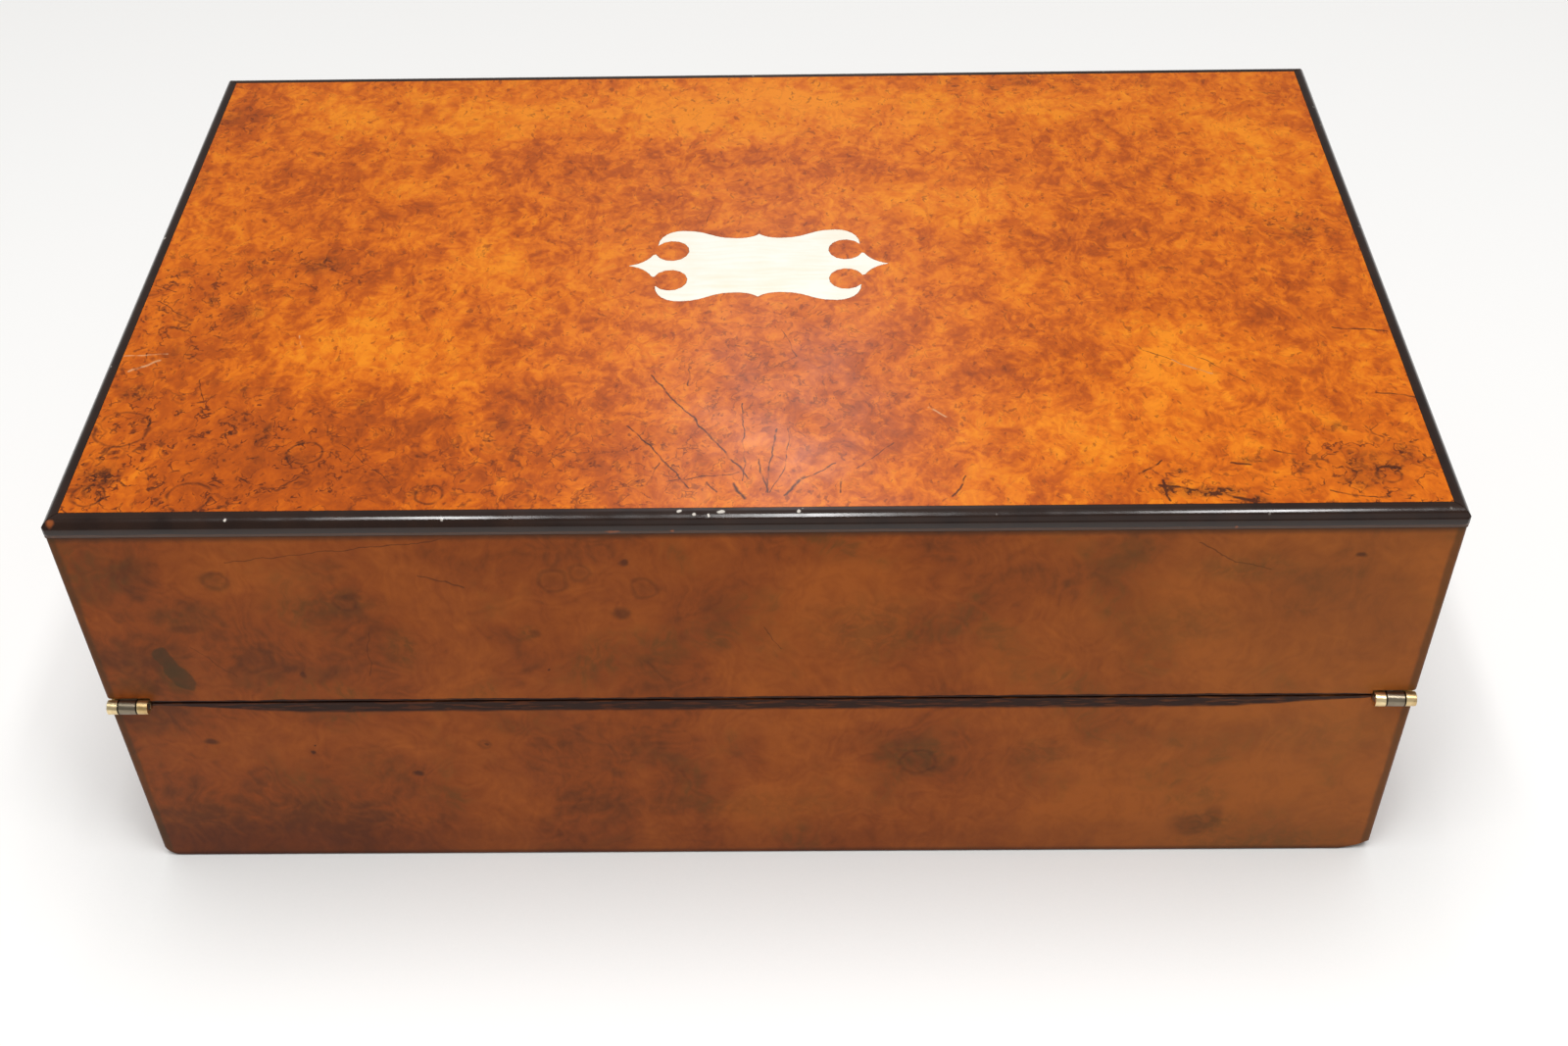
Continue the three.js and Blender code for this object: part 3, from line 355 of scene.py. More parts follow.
def burr_veneer():
    """Amber burr with russet clouds, curled fibres, eyes, knots and open cracks under a worn polish."""
    f = Finish("burr_veneer_polished")
    near = f.warped(f.place, 9, 9, detail=3)
    clouds = f.noise(f.warped(f.place, 34, 26), 20, detail=4, roughness=0.62)
    drawn = f.stretched(f.warped(f.place, 13, 14, detail=3), (1.0, 0.6, 1.0))
    flames = f.noise(drawn, 6.5, detail=4, roughness=0.55)
    distance, tint = f.cells(near, 9.5, dimensions="2D")
    swirl = f.times_plus(distance, 0.45, f.noise(near, 6, roughness=0.55))
    feather = f.math("PINGPONG", f.times(swirl, 3.0), 0.5)
    mottle = f.times_plus(clouds, 0.34, f.times(f.smooth(flames, 0.38, 0.62), 0.12))
    mottle = f.times_plus(f.smooth(feather, 0.05, 0.42), 0.08, mottle)
    flow = f.stretched(f.warped(f.place, 20, 34), (1.0, 0.3, 1.0))
    fibre = f.noise(flow, 2.3, detail=4, roughness=0.6)
    mottle = f.times_plus(fibre, 0.38, mottle)
    plan = f.flat(f.x, f.y)
    loose = f.warped(plan, 22, 20, detail=3)
    placed = 0.0
    for x, y, reach_x, reach_y, amount in TOP_CLOUDS:
        placed = f.times_plus(f.spot(loose, (x, y), (reach_x, reach_y), placed), amount, placed)
    full = f.spots(loose, TOP_FIGURE, core=0.5)
    tone = f.sum(mottle, placed)
    tone = f.times_plus(f.minus(0.41, tone), f.times(full, 0.4), tone)
    wobble = f.warped(plan, 6, 2.6)
    bright = f.strokes(wobble, TOP_FLAMES)
    tone = f.times_plus(f.times(bright, f.smooth(fibre, 0.36, 0.56)), 0.09, tone)
    wood = f.ramp(tone, ((0.22, BROWN), (0.36, RUSSET), (0.49, ORANGE), (0.66, AMBER)))
    eye = f.smooth(distance, 0.16, 0.04)
    halo = f.band(distance, 0.24, 0.06)
    some = f.some_cells(tint, 0.5, 0.6)
    eyes = f.times(some, f.sum(f.times(eye, 0.7), f.times(halo, 0.4)), f.times_plus(full, 0.75, 0.1))

    lined = f.smooth(f.noise(f.place, 4.5, detail=2), 0.41, 0.55)
    line = f.smooth(f.math("PINGPONG", f.times(swirl, 4.0), 0.5), 0.12, 0.02)
    flecks = f.times(f.smooth(f.noise(f.stretched(near, (1.0, 0.5, 1.0)), 1.6, detail=2), 0.62, 0.7), 0.35)
    curls = f.most(f.times(line, lined, f.times_plus(full, 0.56, 0.15)), flecks)

    curled = f.warped(f.place, 5, 7, detail=3)
    seam, _ = f.cells(curled, 10, feature="DISTANCE_TO_EDGE")
    broken = f.smooth(f.noise(f.place, 4.5, detail=2), 0.5, 0.62)
    cracks = f.times(f.smooth(seam, 0.05, 0.015), broken, f.times_plus(full, 0.7, 0.06))

    ragged = f.warped(plan, 4, 4, detail=3)
    knots = f.spots(ragged, TOP_KNOTS, core=0.15)
    grit = f.smooth(f.noise(curled, 2.2, roughness=0.65), 0.44, 0.62)
    knots = f.times(knots, f.sum(f.times(grit, 0.6), 0.25))

    lines = 0.0
    for x, y, radius in TOP_RINGS:
        lines = f.most(lines, f.times(f.ring(wobble, (x, y), radius, 0.7, lines), 0.7))
    lines = f.strokes(wobble, TOP_STROKES, earlier=lines)
    worn = f.smooth(f.noise(f.place, 3.5), 0.36, 0.56)
    lines = f.times(lines, f.sum(f.times(worn, 0.7), 0.25))

    colour = f.mix(f.math("MINIMUM", f.sum(eyes, f.times(curls, 1.4)), 0.92), wood, CURL)
    dark = f.math("MINIMUM", f.sum(f.times(cracks, 0.8), knots, lines), 0.92)
    colour = f.mix(dark, colour, CRACK)
    pale = f.strokes(wobble, TOP_SCRATCHES)
    f.colour(f.mix(f.times(pale, worn, 0.7), colour, srgb(226, 176, 130)))
    patches = f.noise(f.place, 18, detail=4)
    f.roughness(f.times_plus(patches, 0.18, 0.2))
    f.setting("Specular IOR Level", 0.3)
    f.bump(f.noise(f.warped(f.place, 9, 9), 5.5), 0.05)
    return f.material


# Walnut veneer of the sides

CHESTNUT = srgb(170, 88, 28)
NUT = srgb(143, 69, 21)
UMBER = srgb(104, 52, 18)
OLIVE = srgb(88, 60, 22)
DEEP = srgb(40, 20, 12)

# Olive shades of the hinge side: middle (x, z), radii and depth
FACE_CLOUDS = (
    (-156, 79, 5, 11, 0.9), (-94, 88, 7, 11, 0.7), (-108, 105, 16, 8, 0.6), (30, 95, 26, 16, 0.5),
    (110, 96, 24, 12, 0.45), (125, 117, 22, 7, 0.6), (44, 43, 14, 11, 0.65), (78, 44, 12, 9, 0.45),
    (118, 49, 9, 5, 0.5), (128, 13, 13, 10, 0.8), (158, 52, 30, 12, 0.35), (-60, 94, 5, 4, 0.7),
    (-148, 101, 14, 7, 0.5), (-138, 114, 6, 6, 0.5), (-110, 118, 9, 7, 0.35), (-28, 82, 10, 12, 0.35),
    (-108, 40, 14, 12, 0.35), (-168, 74, 10, 6, 0.4), (96, 122, 10, 8, 0.3), (0, 22, 60, 9, 0.3),
    (146, 2, 44, 10, 0.7),
)

# Rings and eyes of the hinge side: middle (x, z) and radius
FACE_RINGS = (
    (-51.5, 113.5, 3.6), (-44.5, 116.5, 2.6), (-28.3, 110.5, 3.2), (-138, 114, 3), (-77, 49.5, 1.6),
    (-106, 106, 2.6), (-35, 101.5, 1.8), (44, 41, 5),
)

# Small dark knots and nicks of the hinge side: middle (x, z), radii and depth
FACE_KNOTS = (
    (-35, 101.5, 3.4, 3.0, 0.55), (-33, 119.5, 1.9, 1.5, 0.6), (-153, 51.5, 3.0, 1.7, 0.65),
    (-97, 37, 2.4, 1.9, 0.7), (-125, 47, 0.8, 1.2, 0.75), (-124, 49.5, 0.6, 0.6, 0.75),
    (153, 120.5, 2.0, 1.3, 0.65), (124, 12, 9, 7, 0.35), (130, 16, 4, 7, 0.3), (-76.5, 49.5, 1.2, 1, 0.6),
    (-150, 96.5, 6, 1.8, 0.35), (-105, 108, 4.5, 2.2, 0.4), (-55.8, 79.7, 0.6, 0.7, 0.7),
    (-122, 78.5, 1.1, 1.8, 0.5), (-58, 94, 2.4, 2, 0.35),
)

# Scratches of the hinge side: start and end (x, z), width
FACE_STROKES = (
    (-86, 115.5, -79, 113.5, 0.8), (-79, 113.5, -75, 111.2, 1.1), (-134, 121, -78, 128, 0.5),
    (-102, 95, -104, 78, 0.35), (112, 125, 122, 118, 0.6), (122, 118, 131, 116, 0.5),
    (-150, 90, -140, 78, 0.35), (2, 96, 6, 88, 0.4),
)


def walnut_wood(f, lighter=0.0):
    """The plain figure that all walnut veneers share: its colour without marks, and its mottle."""
    wide = f.warped(f.place, 45, 40)
    clouds = f.noise(wide, 34, detail=4, roughness=0.55)
    curl = f.warped(f.place, 26, 30, detail=3)
    fibre = f.noise(f.stretched(curl, (1.0, 1.0, 0.3)), 2.4, detail=4, roughness=0.6)
    mottle = f.noise(f.warped(f.place, 8, 8), 6, detail=4, roughness=0.6)
    growth = f.math("PINGPONG", f.times(f.noise(curl, 30, detail=2), 13.0), 0.5)
    shares = ((clouds, 0.68), (fibre, 0.24), (mottle, 0.2), (growth, 0.1))
    tone = f.sum(*(f.times(value, share) for value, share in shares), lighter)
    wood = f.ramp(tone, ((0.4, UMBER), (0.54, NUT), (0.72, CHESTNUT)))
    olive = f.times(f.smooth(f.noise(wide, 27), 0.5, 0.68), f.smooth(fibre, 0.35, 0.7), 0.6)
    return f.mix(olive, wood, OLIVE), mottle


def walnut_polish(f, colour, mottle, dark):
    """Colours and polishes a walnut veneer, deep brown where it is dark: with marks, with the painted shade
    in the split, and on the hinge side towards the bottom edge.
    """
    f.colour(f.mix(dark, colour, DEEP))
    patches = f.noise(f.place, 22, detail=4)
    f.roughness(f.times_plus(patches, 0.2, 0.3))
    f.setting("Specular IOR Level", 0.13)
    f.bump(f.noise(f.warped(f.place, 8, 8), 6), 0.04, strength=0.4)
    return f.material


def split_shade(f):
    """Painted shade of the gap along the split, widest in the middle of its length, where its edges are worn
    round.
    """
    rise = f.vector("DOT_PRODUCT", f.place, (0.0, -SLOPE_SINE, SLOPE_COSINE))
    height = f.minus(rise, AXIS_Z * SLOPE_COSINE - AXIS_Y * SLOPE_SINE)
    reach = f.smooth(f.math("ABSOLUTE", f.x), 168.0, 120.0)
    uneven = f.times_plus(f.noise(f.stretched(f.place, (0.25, 1.0, 1.0)), 2.2), 1.2, -0.6)
    below = f.times_plus(reach, 3.0, 1.0)
    above = f.times_plus(reach, 0.3, 0.75)
    level = f.sum(height, uneven)
    down = f.math("DIVIDE", level, f.times(below, -1.0))
    up = f.math("DIVIDE", level, above)
    return f.smooth(f.most(down, up), 1.15, 0.85)


def corner_wear_and_shade(f, width):
    """Where the upright corners are darker olive: painted shade of their rounded edge, and their polish worn
    there.
    """
    away = f.minus(FACE_X, f.math("ABSOLUTE", f.x))
    uneven = f.times_plus(f.noise(f.stretched(f.place, (1.0, 1.0, 0.2)), 3), 1.4, -0.7)
    return f.smooth(f.sum(away, uneven), width, width * 0.6)


def hinge_side_walnut():
    """Walnut of the hinge side, with its rings, knots, olive shades and scratches, painted shade in the
    split, under the moulding and in the corners, and painted light towards the right.
    """
    f = Finish("walnut_hinge_side")
    # Painted light: the tone rises towards the right, more below the split, partly the veneer's own tone
    painted_light_rightward = f.times_plus(f.math("LESS_THAN", f.z, AXIS_Z), 0.0004, 0.0002)
    colour, mottle = walnut_wood(f, f.times(f.x, painted_light_rightward))
    plan = f.flat(f.x, f.z)
    loose = f.warped(plan, 12, 9, detail=3)
    shade = f.spots(loose, FACE_CLOUDS, core=0.2)
    swirl = f.noise(f.warped(plan, 11, 16), 3.2, roughness=0.6)
    swirl = f.smooth(swirl, 0.38, 0.6)
    colour = f.mix(f.times(shade, f.times_plus(swirl, 0.6, 0.22)), colour, OLIVE)
    # Darker and redder towards the bottom, most at the left: partly painted shade, partly the veneer's own
    # tone
    low = f.smooth(f.times_plus(mottle, 12.0, f.z), 28.0, 12.0)
    depth = f.times_plus(f.smooth(f.x, -40.0, -150.0), 0.35, 0.25)
    colour = f.mix(f.times(low, depth), colour, srgb(88, 38, 16))
    # Painted light: lighter and more olive towards the right
    colour = f.mix(f.times(f.smooth(f.x, 30.0, 170.0), 0.3), colour, srgb(160, 100, 42))
    leaf = f.smooth(f.stroke(f.warped(plan, 8, 5), (-158.5, 86), (-153.5, 75), 9.0, colour), 0.25, 0.5)
    colour = f.mix(f.times(leaf, 0.7), colour, srgb(70, 50, 24))
    # Painted shade under the moulding: darker olive brown just below it
    colour = f.mix(f.times(f.smooth(f.z, 127.4, 129.6), 0.7), colour, srgb(66, 42, 22))
    # Darker olive along the upright corners: painted shade of their rounding, and worn polish
    colour = f.mix(f.times(corner_wear_and_shade(f, 3.2), 0.62), colour, srgb(70, 50, 24))

    wobble = f.warped(plan, 5, 2.6)
    marks = 0.0
    for x, z, radius in FACE_RINGS:
        eye = f.spot(wobble, (x, z), (radius * 1.5, radius * 1.3), marks)
        marks = f.most(marks, f.times(eye, 0.22), f.times(f.ring(wobble, (x, z), radius, 1.3, eye), 0.3))
    marks = f.spots(wobble, FACE_KNOTS, core=0.3, earlier=marks)
    marks = f.strokes(wobble, FACE_STROKES, strength=0.6, earlier=marks)
    foot = f.times(f.smooth(f.z, 2.6, 0.8), 0.6)
    glint = f.noise(f.stretched(f.place, (0.12, 1.0, 1.0)), 0.9)
    # Painted shade in the split, broken by lighter brown streaks
    stain = f.times(split_shade(f), f.times_plus(f.smooth(glint, 0.5, 0.62), -0.22, 0.98))
    return walnut_polish(f, colour, mottle, f.most(marks, stain, foot))


def walnut_veneer():
    """Walnut of the other sides."""
    f = Finish("walnut_sides")
    colour, mottle = walnut_wood(f)
    near = f.warped(f.place, 9, 8)
    distance, tint = f.cells(near, 16)
    some = f.some_cells(tint, 0.78, 0.84)
    eye = f.sum(f.times(f.smooth(distance, 0.1, 0.04), 0.6), f.times(f.band(distance, 0.2, 0.05), 0.35))
    # Eyes of the veneer, and a weaker painted shade in the split
    dark = f.most(f.times(some, eye), f.times(split_shade(f), 0.7))
    return walnut_polish(f, colour, mottle, dark)


# Chips in the face of the hinge side's moulding: x and reach
MOULDING_CHIPS = ((-35, 2.4), (-20, 0.8), (120, 0.7))

# Nicks in the top of the same moulding: x, how far in from its face, and radius
MOULDING_NICKS = ((-18.3, 2.6, 0.7), (-14.5, 1.6, 0.6), (-7.8, 2.2, 1.2), (-11, 1.4, 0.5), (11.5, 2.2, 0.6))


def ebonised_moulding():
    """Polished ebonised wood, with pale specks and nicks near its top and chips that show brown wood."""
    f = Finish("ebonised_polished")
    shade = f.noise(f.place, 9, detail=4, roughness=0.6)
    black = f.ramp(shade, ((0.3, srgb(28, 12, 6)), (0.7, srgb(44, 24, 13))))
    fine = f.warped(f.place, 2, 1)
    distance, tint = f.cells(fine, 3.2)
    rare = f.some_cells(tint, 0.84, 0.88)
    upper = f.smooth(f.z, TOP_Z - 1.4, TOP_Z - 0.6)
    left = f.smooth(f.x, 70.0, -150.0)
    speck = f.times(f.smooth(distance, 0.16, 0.1), rare, upper, f.sum(f.times(left, 0.8), 0.2))
    front = f.smooth(f.y, -FACE_Y + 20.0, -FACE_Y + 10.0)
    elevation = f.warped(f.flat(f.x, f.z), 2, 1)
    chips = [(x, TOP_Z - 4.2, reach, 0.9, 1.0) for x, reach in MOULDING_CHIPS]
    chip = f.spots(elevation, chips, core=0.4)
    plan = f.warped(f.flat(f.x, f.y), 2, 1)
    corner = f.spot(plan, (-175.2, -107.2), (1.3, 0.9), chip, core=0.3)
    chip = f.times(f.most(chip, corner), front)
    nicks = [(x, inward - FACE_Y, radius, 0.6, 1.0) for x, inward, radius in MOULDING_NICKS]
    nick = f.spots(plan, nicks, core=0.5)
    quirk = f.smooth(f.times_plus(shade, 0.8, f.z), TOP_Z - 3.2, TOP_Z - 3.8)
    black = f.mix(f.times(quirk, 0.8), black, srgb(96, 62, 42))
    colour = f.mix(f.times(chip, 0.9), black, srgb(150, 78, 34))
    colour = f.mix(f.most(speck, nick), colour, srgb(214, 206, 196))
    f.colour(colour)
    flat_top = f.smooth(f.z, TOP_Z - 0.3, TOP_Z - 0.05)
    f.roughness(f.sum(f.times(f.noise(f.place, 6, detail=4), 0.14), f.times(flat_top, 0.2), 0.08))
    f.setting("Specular IOR Level", 0.45)
    f.bump(f.noise(f.place, 14), 0.05, strength=0.6)
    return f.material


def bone():
    """Cream bone with faint streaks along its length."""
    f = Finish("bone_polished")
    streak = f.noise(f.stretched(f.warped(f.place, 20, 5), (0.08, 1.0, 1.0)), 1.6, detail=4)
    cloud = f.noise(f.place, 12)
    tone = f.times_plus(cloud, 0.5, f.times(streak, 0.5))
    f.colour(f.ramp(tone, ((0.3, srgb(246, 236, 212)), (0.6, srgb(254, 250, 238)))))
    f.roughness(f.times_plus(cloud, 0.2, 0.22))
    f.bump(streak, 0.02)
    return f.material


def grained_wood(name, dark, mid, light, roughness, grain=1.1):
    """Straight-grained wood, its grain along X."""
    f = Finish(name)
    bent = f.warped(f.place, 60, 12)
    lines = f.noise(f.stretched(bent, (0.04, 1.0, 1.0)), grain, detail=4, roughness=0.6)
    clouds = f.noise(f.stretched(bent, (0.3, 1.0, 1.0)), 14)
    tone = f.times_plus(lines, 0.55, f.times(clouds, 0.45))
    pores = f.smooth(f.noise(f.stretched(f.place, (0.1, 1.0, 1.0)), 0.5, detail=2), 0.62, 0.7)
    colour = f.ramp(tone, ((0.35, dark), (0.5, mid), (0.66, light)))
    f.colour(f.mix(f.times(pores, 0.5), colour, dark))
    f.roughness(f.times_plus(clouds, 0.2, roughness))
    f.bump(f.minus(lines, pores), 0.05)
    return f.material


def tarnished_metal(name, bright, dull, darkest, roughness):
    """Aged metal: bright where it is rubbed, dull and rougher in its tarnish."""
    f = Finish(name)
    cloud = f.noise(f.warped(f.place, 8, 6), 9, roughness=0.55)
    fine = f.noise(f.place, 0.8)
    dull_share = f.smooth(cloud, 0.36, 0.7)
    spots = f.smooth(f.noise(f.place, 2.4, roughness=0.6), 0.62, 0.74)
    f.colour(f.mix(f.times(spots, 0.4), f.mix(dull_share, bright, dull), darkest))
    f.setting("Metallic", 1.0)
    f.roughness(f.sum(f.times(dull_share, 0.22), f.times(fine, 0.14), roughness))
    f.bump(fine, 0.02)
    return f.material


def hinge_brass():
    """Pale worn brass. The lid's middle knuckles are painted grey, a painted dark reflection."""
    f = Finish("hinge_brass_worn")
    cloud = f.noise(f.place, 7, detail=4, roughness=0.6)
    colour = f.mix(f.smooth(cloud, 0.35, 0.7), srgb(238, 216, 170), srgb(192, 158, 104))
    aside = f.math("ABSOLUTE", f.minus(f.math("ABSOLUTE", f.x), BARREL_X))
    outside = f.smooth(f.y, -FACE_Y + 0.3, -FACE_Y)
    # Painted dark reflection: the middle knuckles outside the face are grey
    grey = f.times(f.smooth(aside, 2.6, 2.3), outside)
    colour = f.mix(f.times(grey, 0.8), colour, srgb(92, 88, 86))
    joint = f.band(aside, 2.5, 0.35, 0.1)
    colour = f.mix(f.times(joint, outside), colour, srgb(60, 48, 34))
    f.colour(colour)
    f.setting("Metallic", 1.0)
    f.roughness(f.times_plus(cloud, 0.3, 0.2))
    f.bump(f.noise(f.place, 0.7), 0.03)
    return f.material


def tooled_leather(name, spans):
    """Dark green leather, rubbed lighter in the middle, with a fine grain and a worn gilt border."""
    f = Finish(name)
    half, (low, high) = spans
    rise = f.vector("DOT_PRODUCT", f.place, (0.0, SLOPE_COSINE, SLOPE_SINE))
    s = f.minus(rise, AXIS_Y * SLOPE_COSINE + AXIS_Z * SLOPE_SINE)
    from_side = f.minus(half, f.math("ABSOLUTE", f.x))
    from_end = f.math("MINIMUM", f.minus(s, low), f.minus(high, s))
    inset = f.math("MINIMUM", from_side, from_end)
    on_side = f.math("LESS_THAN", from_side, from_end)
    along = f.times_plus(on_side, f.minus(s, f.x), f.x)

    gilt = 0.0
    for middle, width in FILLETS:
        gilt = f.most(gilt, f.band(inset, middle, width / 2 + 0.05, width / 2 - 0.05))
    across = f.minus(inset, SCROLL_INSET)
    wave = f.math("SINE", f.times(along, math.pi / SCROLL_PITCH))
    stem = f.smooth(f.math("ABSOLUTE", f.times_plus(wave, -SCROLL_REACH, across)), 0.24, 0.12)
    place = f.math("PINGPONG", f.sum(along, SCROLL_PITCH / 2), SCROLL_PITCH / 2)
    other = f.times_plus(f.math("SIGN", wave), SCROLL_REACH * 0.7, across)
    bud = f.smooth(f.vector("LENGTH", f.flat(f.times(place, 0.6), other)), 0.55, 0.4)
    gilt = f.most(gilt, stem, bud)
    worn = f.smooth(f.noise(f.warped(f.place, 10, 10), 9, detail=5, roughness=0.7), 0.26, 0.4)
    gilt = f.times(gilt, f.times_plus(worn, 0.75, 0.2))

    cloud = f.noise(f.warped(f.place, 30, 30), 40, detail=4)
    rubbed = f.smooth(inset, 20.0, 55.0)
    tone = f.times_plus(rubbed, 0.12, cloud)
    hide = f.ramp(tone, ((0.35, srgb(20, 38, 28)), (0.55, srgb(34, 60, 42)), (0.75, srgb(58, 80, 54))))
    stain = f.smooth(f.noise(f.warped(f.place, 5, 6), 16, detail=4, roughness=0.7), 0.64, 0.7)
    hide = f.mix(f.times(stain, 0.6), hide, srgb(14, 20, 20))
    pebble, _ = f.cells(f.warped(f.place, 2, 0.6), 0.9)
    hide = f.mix(f.times(f.smooth(pebble, 0.35, 0.7), 0.35), hide, srgb(12, 24, 18))
    f.colour(f.mix(gilt, hide, srgb(206, 164, 86)))
    f.setting("Metallic", gilt)
    f.roughness(f.times_plus(cloud, 0.25, 0.36))
    f.bump(f.times(pebble, -1.0), 0.12, strength=0.6)
    return f.material


def twill_cloth():
    """Dark green twill: slanting ribs of crossing threads, lighter and darker in clouds."""
    f = Finish("hinge_cloth_twill")
    rib = f.math("SINE", f.vector("DOT_PRODUCT", f.place, (5.2, 5.2, 0.9)))
    thread = f.math("SINE", f.times(f.x, 14.0))
    weave = f.times_plus(thread, 0.12, f.times_plus(rib, 0.3, 0.5))
    cloud = f.noise(f.place, 7, detail=4, roughness=0.65)
    tone = f.times_plus(cloud, 0.6, f.times(weave, 0.4))
    f.colour(f.ramp(tone, ((0.3, srgb(18, 30, 24)), (0.55, srgb(34, 52, 40)), (0.8, srgb(62, 82, 64)))))
    f.roughness(f.times_plus(cloud, 0.1, 0.82))
    f.bump(weave, 0.1, strength=0.8)
    return f.material


def inkwell_glass():
    f = Finish("inkwell_glass_clear")
    f.colour(srgb(236, 244, 240))
    f.setting("Transmission Weight", 1.0)
    f.setting("IOR", 1.5)
    f.roughness(f.times_plus(f.noise(f.place, 8), 0.08, 0.01))
    f.bump(f.noise(f.place, 10, detail=2), 0.05, strength=0.3)
    return f.material


# The leathers of the flaps: half their width, and their span up the slope
UPPER_LEATHER = (149.0, (29.79, 139.02))
LOWER_LEATHER = (149.0, (30.96, 176.44))

# Tooling of the leathers: insets and widths of the gilt lines, and the scroll between them
FILLETS = ((6.0, 0.55), (7.0, 0.22), (12.0, 0.22), (13.0, 0.55))
SCROLL_INSET = 9.5
SCROLL_PITCH = 3.4
SCROLL_REACH = 1.1

# Woods from dark to light, and metals from bright to darkest
SOFTWOOD = (srgb(108, 74, 44), srgb(142, 102, 62), srgb(170, 128, 84))
MAHOGANY = (srgb(54, 25, 17), srgb(84, 42, 27), srgb(112, 60, 38))
AGED_BRASS = (srgb(222, 184, 112), srgb(176, 136, 76), srgb(104, 78, 46))
AGED_STEEL = (srgb(150, 146, 140), srgb(98, 92, 86), srgb(70, 50, 40))

FINISHES = {
    "burr_veneer": burr_veneer(),
    "walnut_veneer": walnut_veneer(),
    "ebonised_moulding": ebonised_moulding(),
    "bone": bone(),
    "carcass_board": grained_wood("carcass_softwood", *SOFTWOOD, 0.6, grain=2.2),
    "interior_wood": grained_wood("interior_mahogany", *MAHOGANY, 0.3),
    "writing_leather": tooled_leather("leather_upper", UPPER_LEATHER),
    "hinge_cloth": twill_cloth(),
    "hinge_brass": hinge_brass(),
    "fitting_brass": tarnished_metal("fitting_brass_aged", *AGED_BRASS, 0.22),
    "steel_works": tarnished_metal("steel_aged", *AGED_STEEL, 0.3),
    "inkwell_glass": inkwell_glass(),
}
HINGE_SIDE = hinge_side_walnut()
LOWER_LEATHER_FINISH = tooled_leather("leather_lower", LOWER_LEATHER)

for name, node in NODES.items():
    slot = node.material_slots[0].material.name.split(".")[0]
    finish = FINISHES[slot]
    if name in ("base_hinge_veneer", "lid_hinge_veneer"):
        finish = HINGE_SIDE
    for holder in node.material_slots:
        holder.material = finish


# Soft edges: most hard edges get a small round, and curved faces are shaded smooth

def new_group(name):
    """A node group for a modifier, with its start and its end."""
    group = bpy.data.node_groups.new(name, "GeometryNodeTree")
    for in_out in ("INPUT", "OUTPUT"):
        group.interface.new_socket("Geometry", in_out=in_out, socket_type="NodeSocketGeometry")
    return group, group.nodes.new("NodeGroupInput"), group.nodes.new("NodeGroupOutput")


def chain(group, *nodes):
    """Passes the geometry on from each node to the next."""
    for earlier, later in zip(nodes, nodes[1:]):
        group.links.new(earlier.outputs[0], later.inputs[0])


def weld_group():
    """Joins the corners that the faces share and drops the normals that came with the file."""
    group, start, end = new_group("weld_corners")
    merge = group.nodes.new("GeometryNodeMergeByDistance")
    merge.inputs["Distance"].default_value = WELD_REACH * MM
    drop = group.nodes.new("GeometryNodeRemoveAttribute")
    drop.inputs["Name"].default_value = "custom_normal"
    chain(group, start, merge, drop, end)
    return group


def smooth_group(angle):
    """Shades faces smooth, and keeps edges sharper than the angle sharp."""
    group, start, end = new_group("smooth_by_angle")
    faces = group.nodes.new("GeometryNodeSetShadeSmooth")
    faces.domain = "FACE"
    edges = group.nodes.new("GeometryNodeSetShadeSmooth")
    edges.domain = "EDGE"
    edges.inputs["Shade Smooth"].default_value = False
    bend = group.nodes.new("GeometryNodeInputMeshEdgeAngle")
    compare = group.nodes.new("FunctionNodeCompare")
    compare.operation = "GREATER_THAN"
    compare.inputs[1].default_value = angle
    chain(group, start, faces, edges, end)
    group.links.new(bend.outputs[0], compare.inputs[0])
    group.links.new(compare.outputs[0], edges.inputs["Selection"])
    return group


# How near the corners are that are joined, in millimetres, and the bend from which an edge is sharp
WELD_REACH = 0.002
SHARP_ANGLE = math.radians(40)
WELD = weld_group()
SMOOTH = smooth_group(SHARP_ANGLE)


def soften(piece, width):
    """Adds the weld, a bevel of the given width in millimetres, and smooth shading."""
    piece.modifiers.new("weld", "NODES").node_group = WELD
    if width > 0:
        bevel = piece.modifiers.new("edge_round", "BEVEL")
        bevel.width = width * MM
        bevel.segments = 2
        bevel.limit_method = "ANGLE"
        bevel.angle_limit = SHARP_ANGLE
        bevel.use_clamp_overlap = True
    piece.modifiers.new("smooth", "NODES").node_group = SMOOTH
    weighted = piece.modifiers.new("weighted", "WEIGHTED_NORMAL")
    weighted.keep_sharp = True


# Widths of the small rounds in millimetres
EDGE_ROUNDS = {
    "burr_veneer": 0.0, "walnut_veneer": 0.3, "ebonised_moulding": 0.12, "bone": 0.0,
    "carcass_board": 0.3, "interior_wood": 0.3, "hinge_brass": 0.12, "fitting_brass": 0.12,
    "steel_works": 0.1, "inkwell_glass": 0.3, "writing_leather": 0.1, "hinge_cloth": 0.1,
}
for name, node in NODES.items():
    row = next(part for part in frame["record"]["subparts"] if part["node"] == name)
    soften(node, EDGE_ROUNDS[row["material_slot"]])


# Meshes

def finished_mesh(name, shape):
    """The shape as a mesh with its faces turned outward."""
    bmesh.ops.recalc_face_normals(shape, faces=shape.faces)
    mesh = bpy.data.meshes.new(name)
    shape.to_mesh(mesh)
    shape.free()
    return mesh


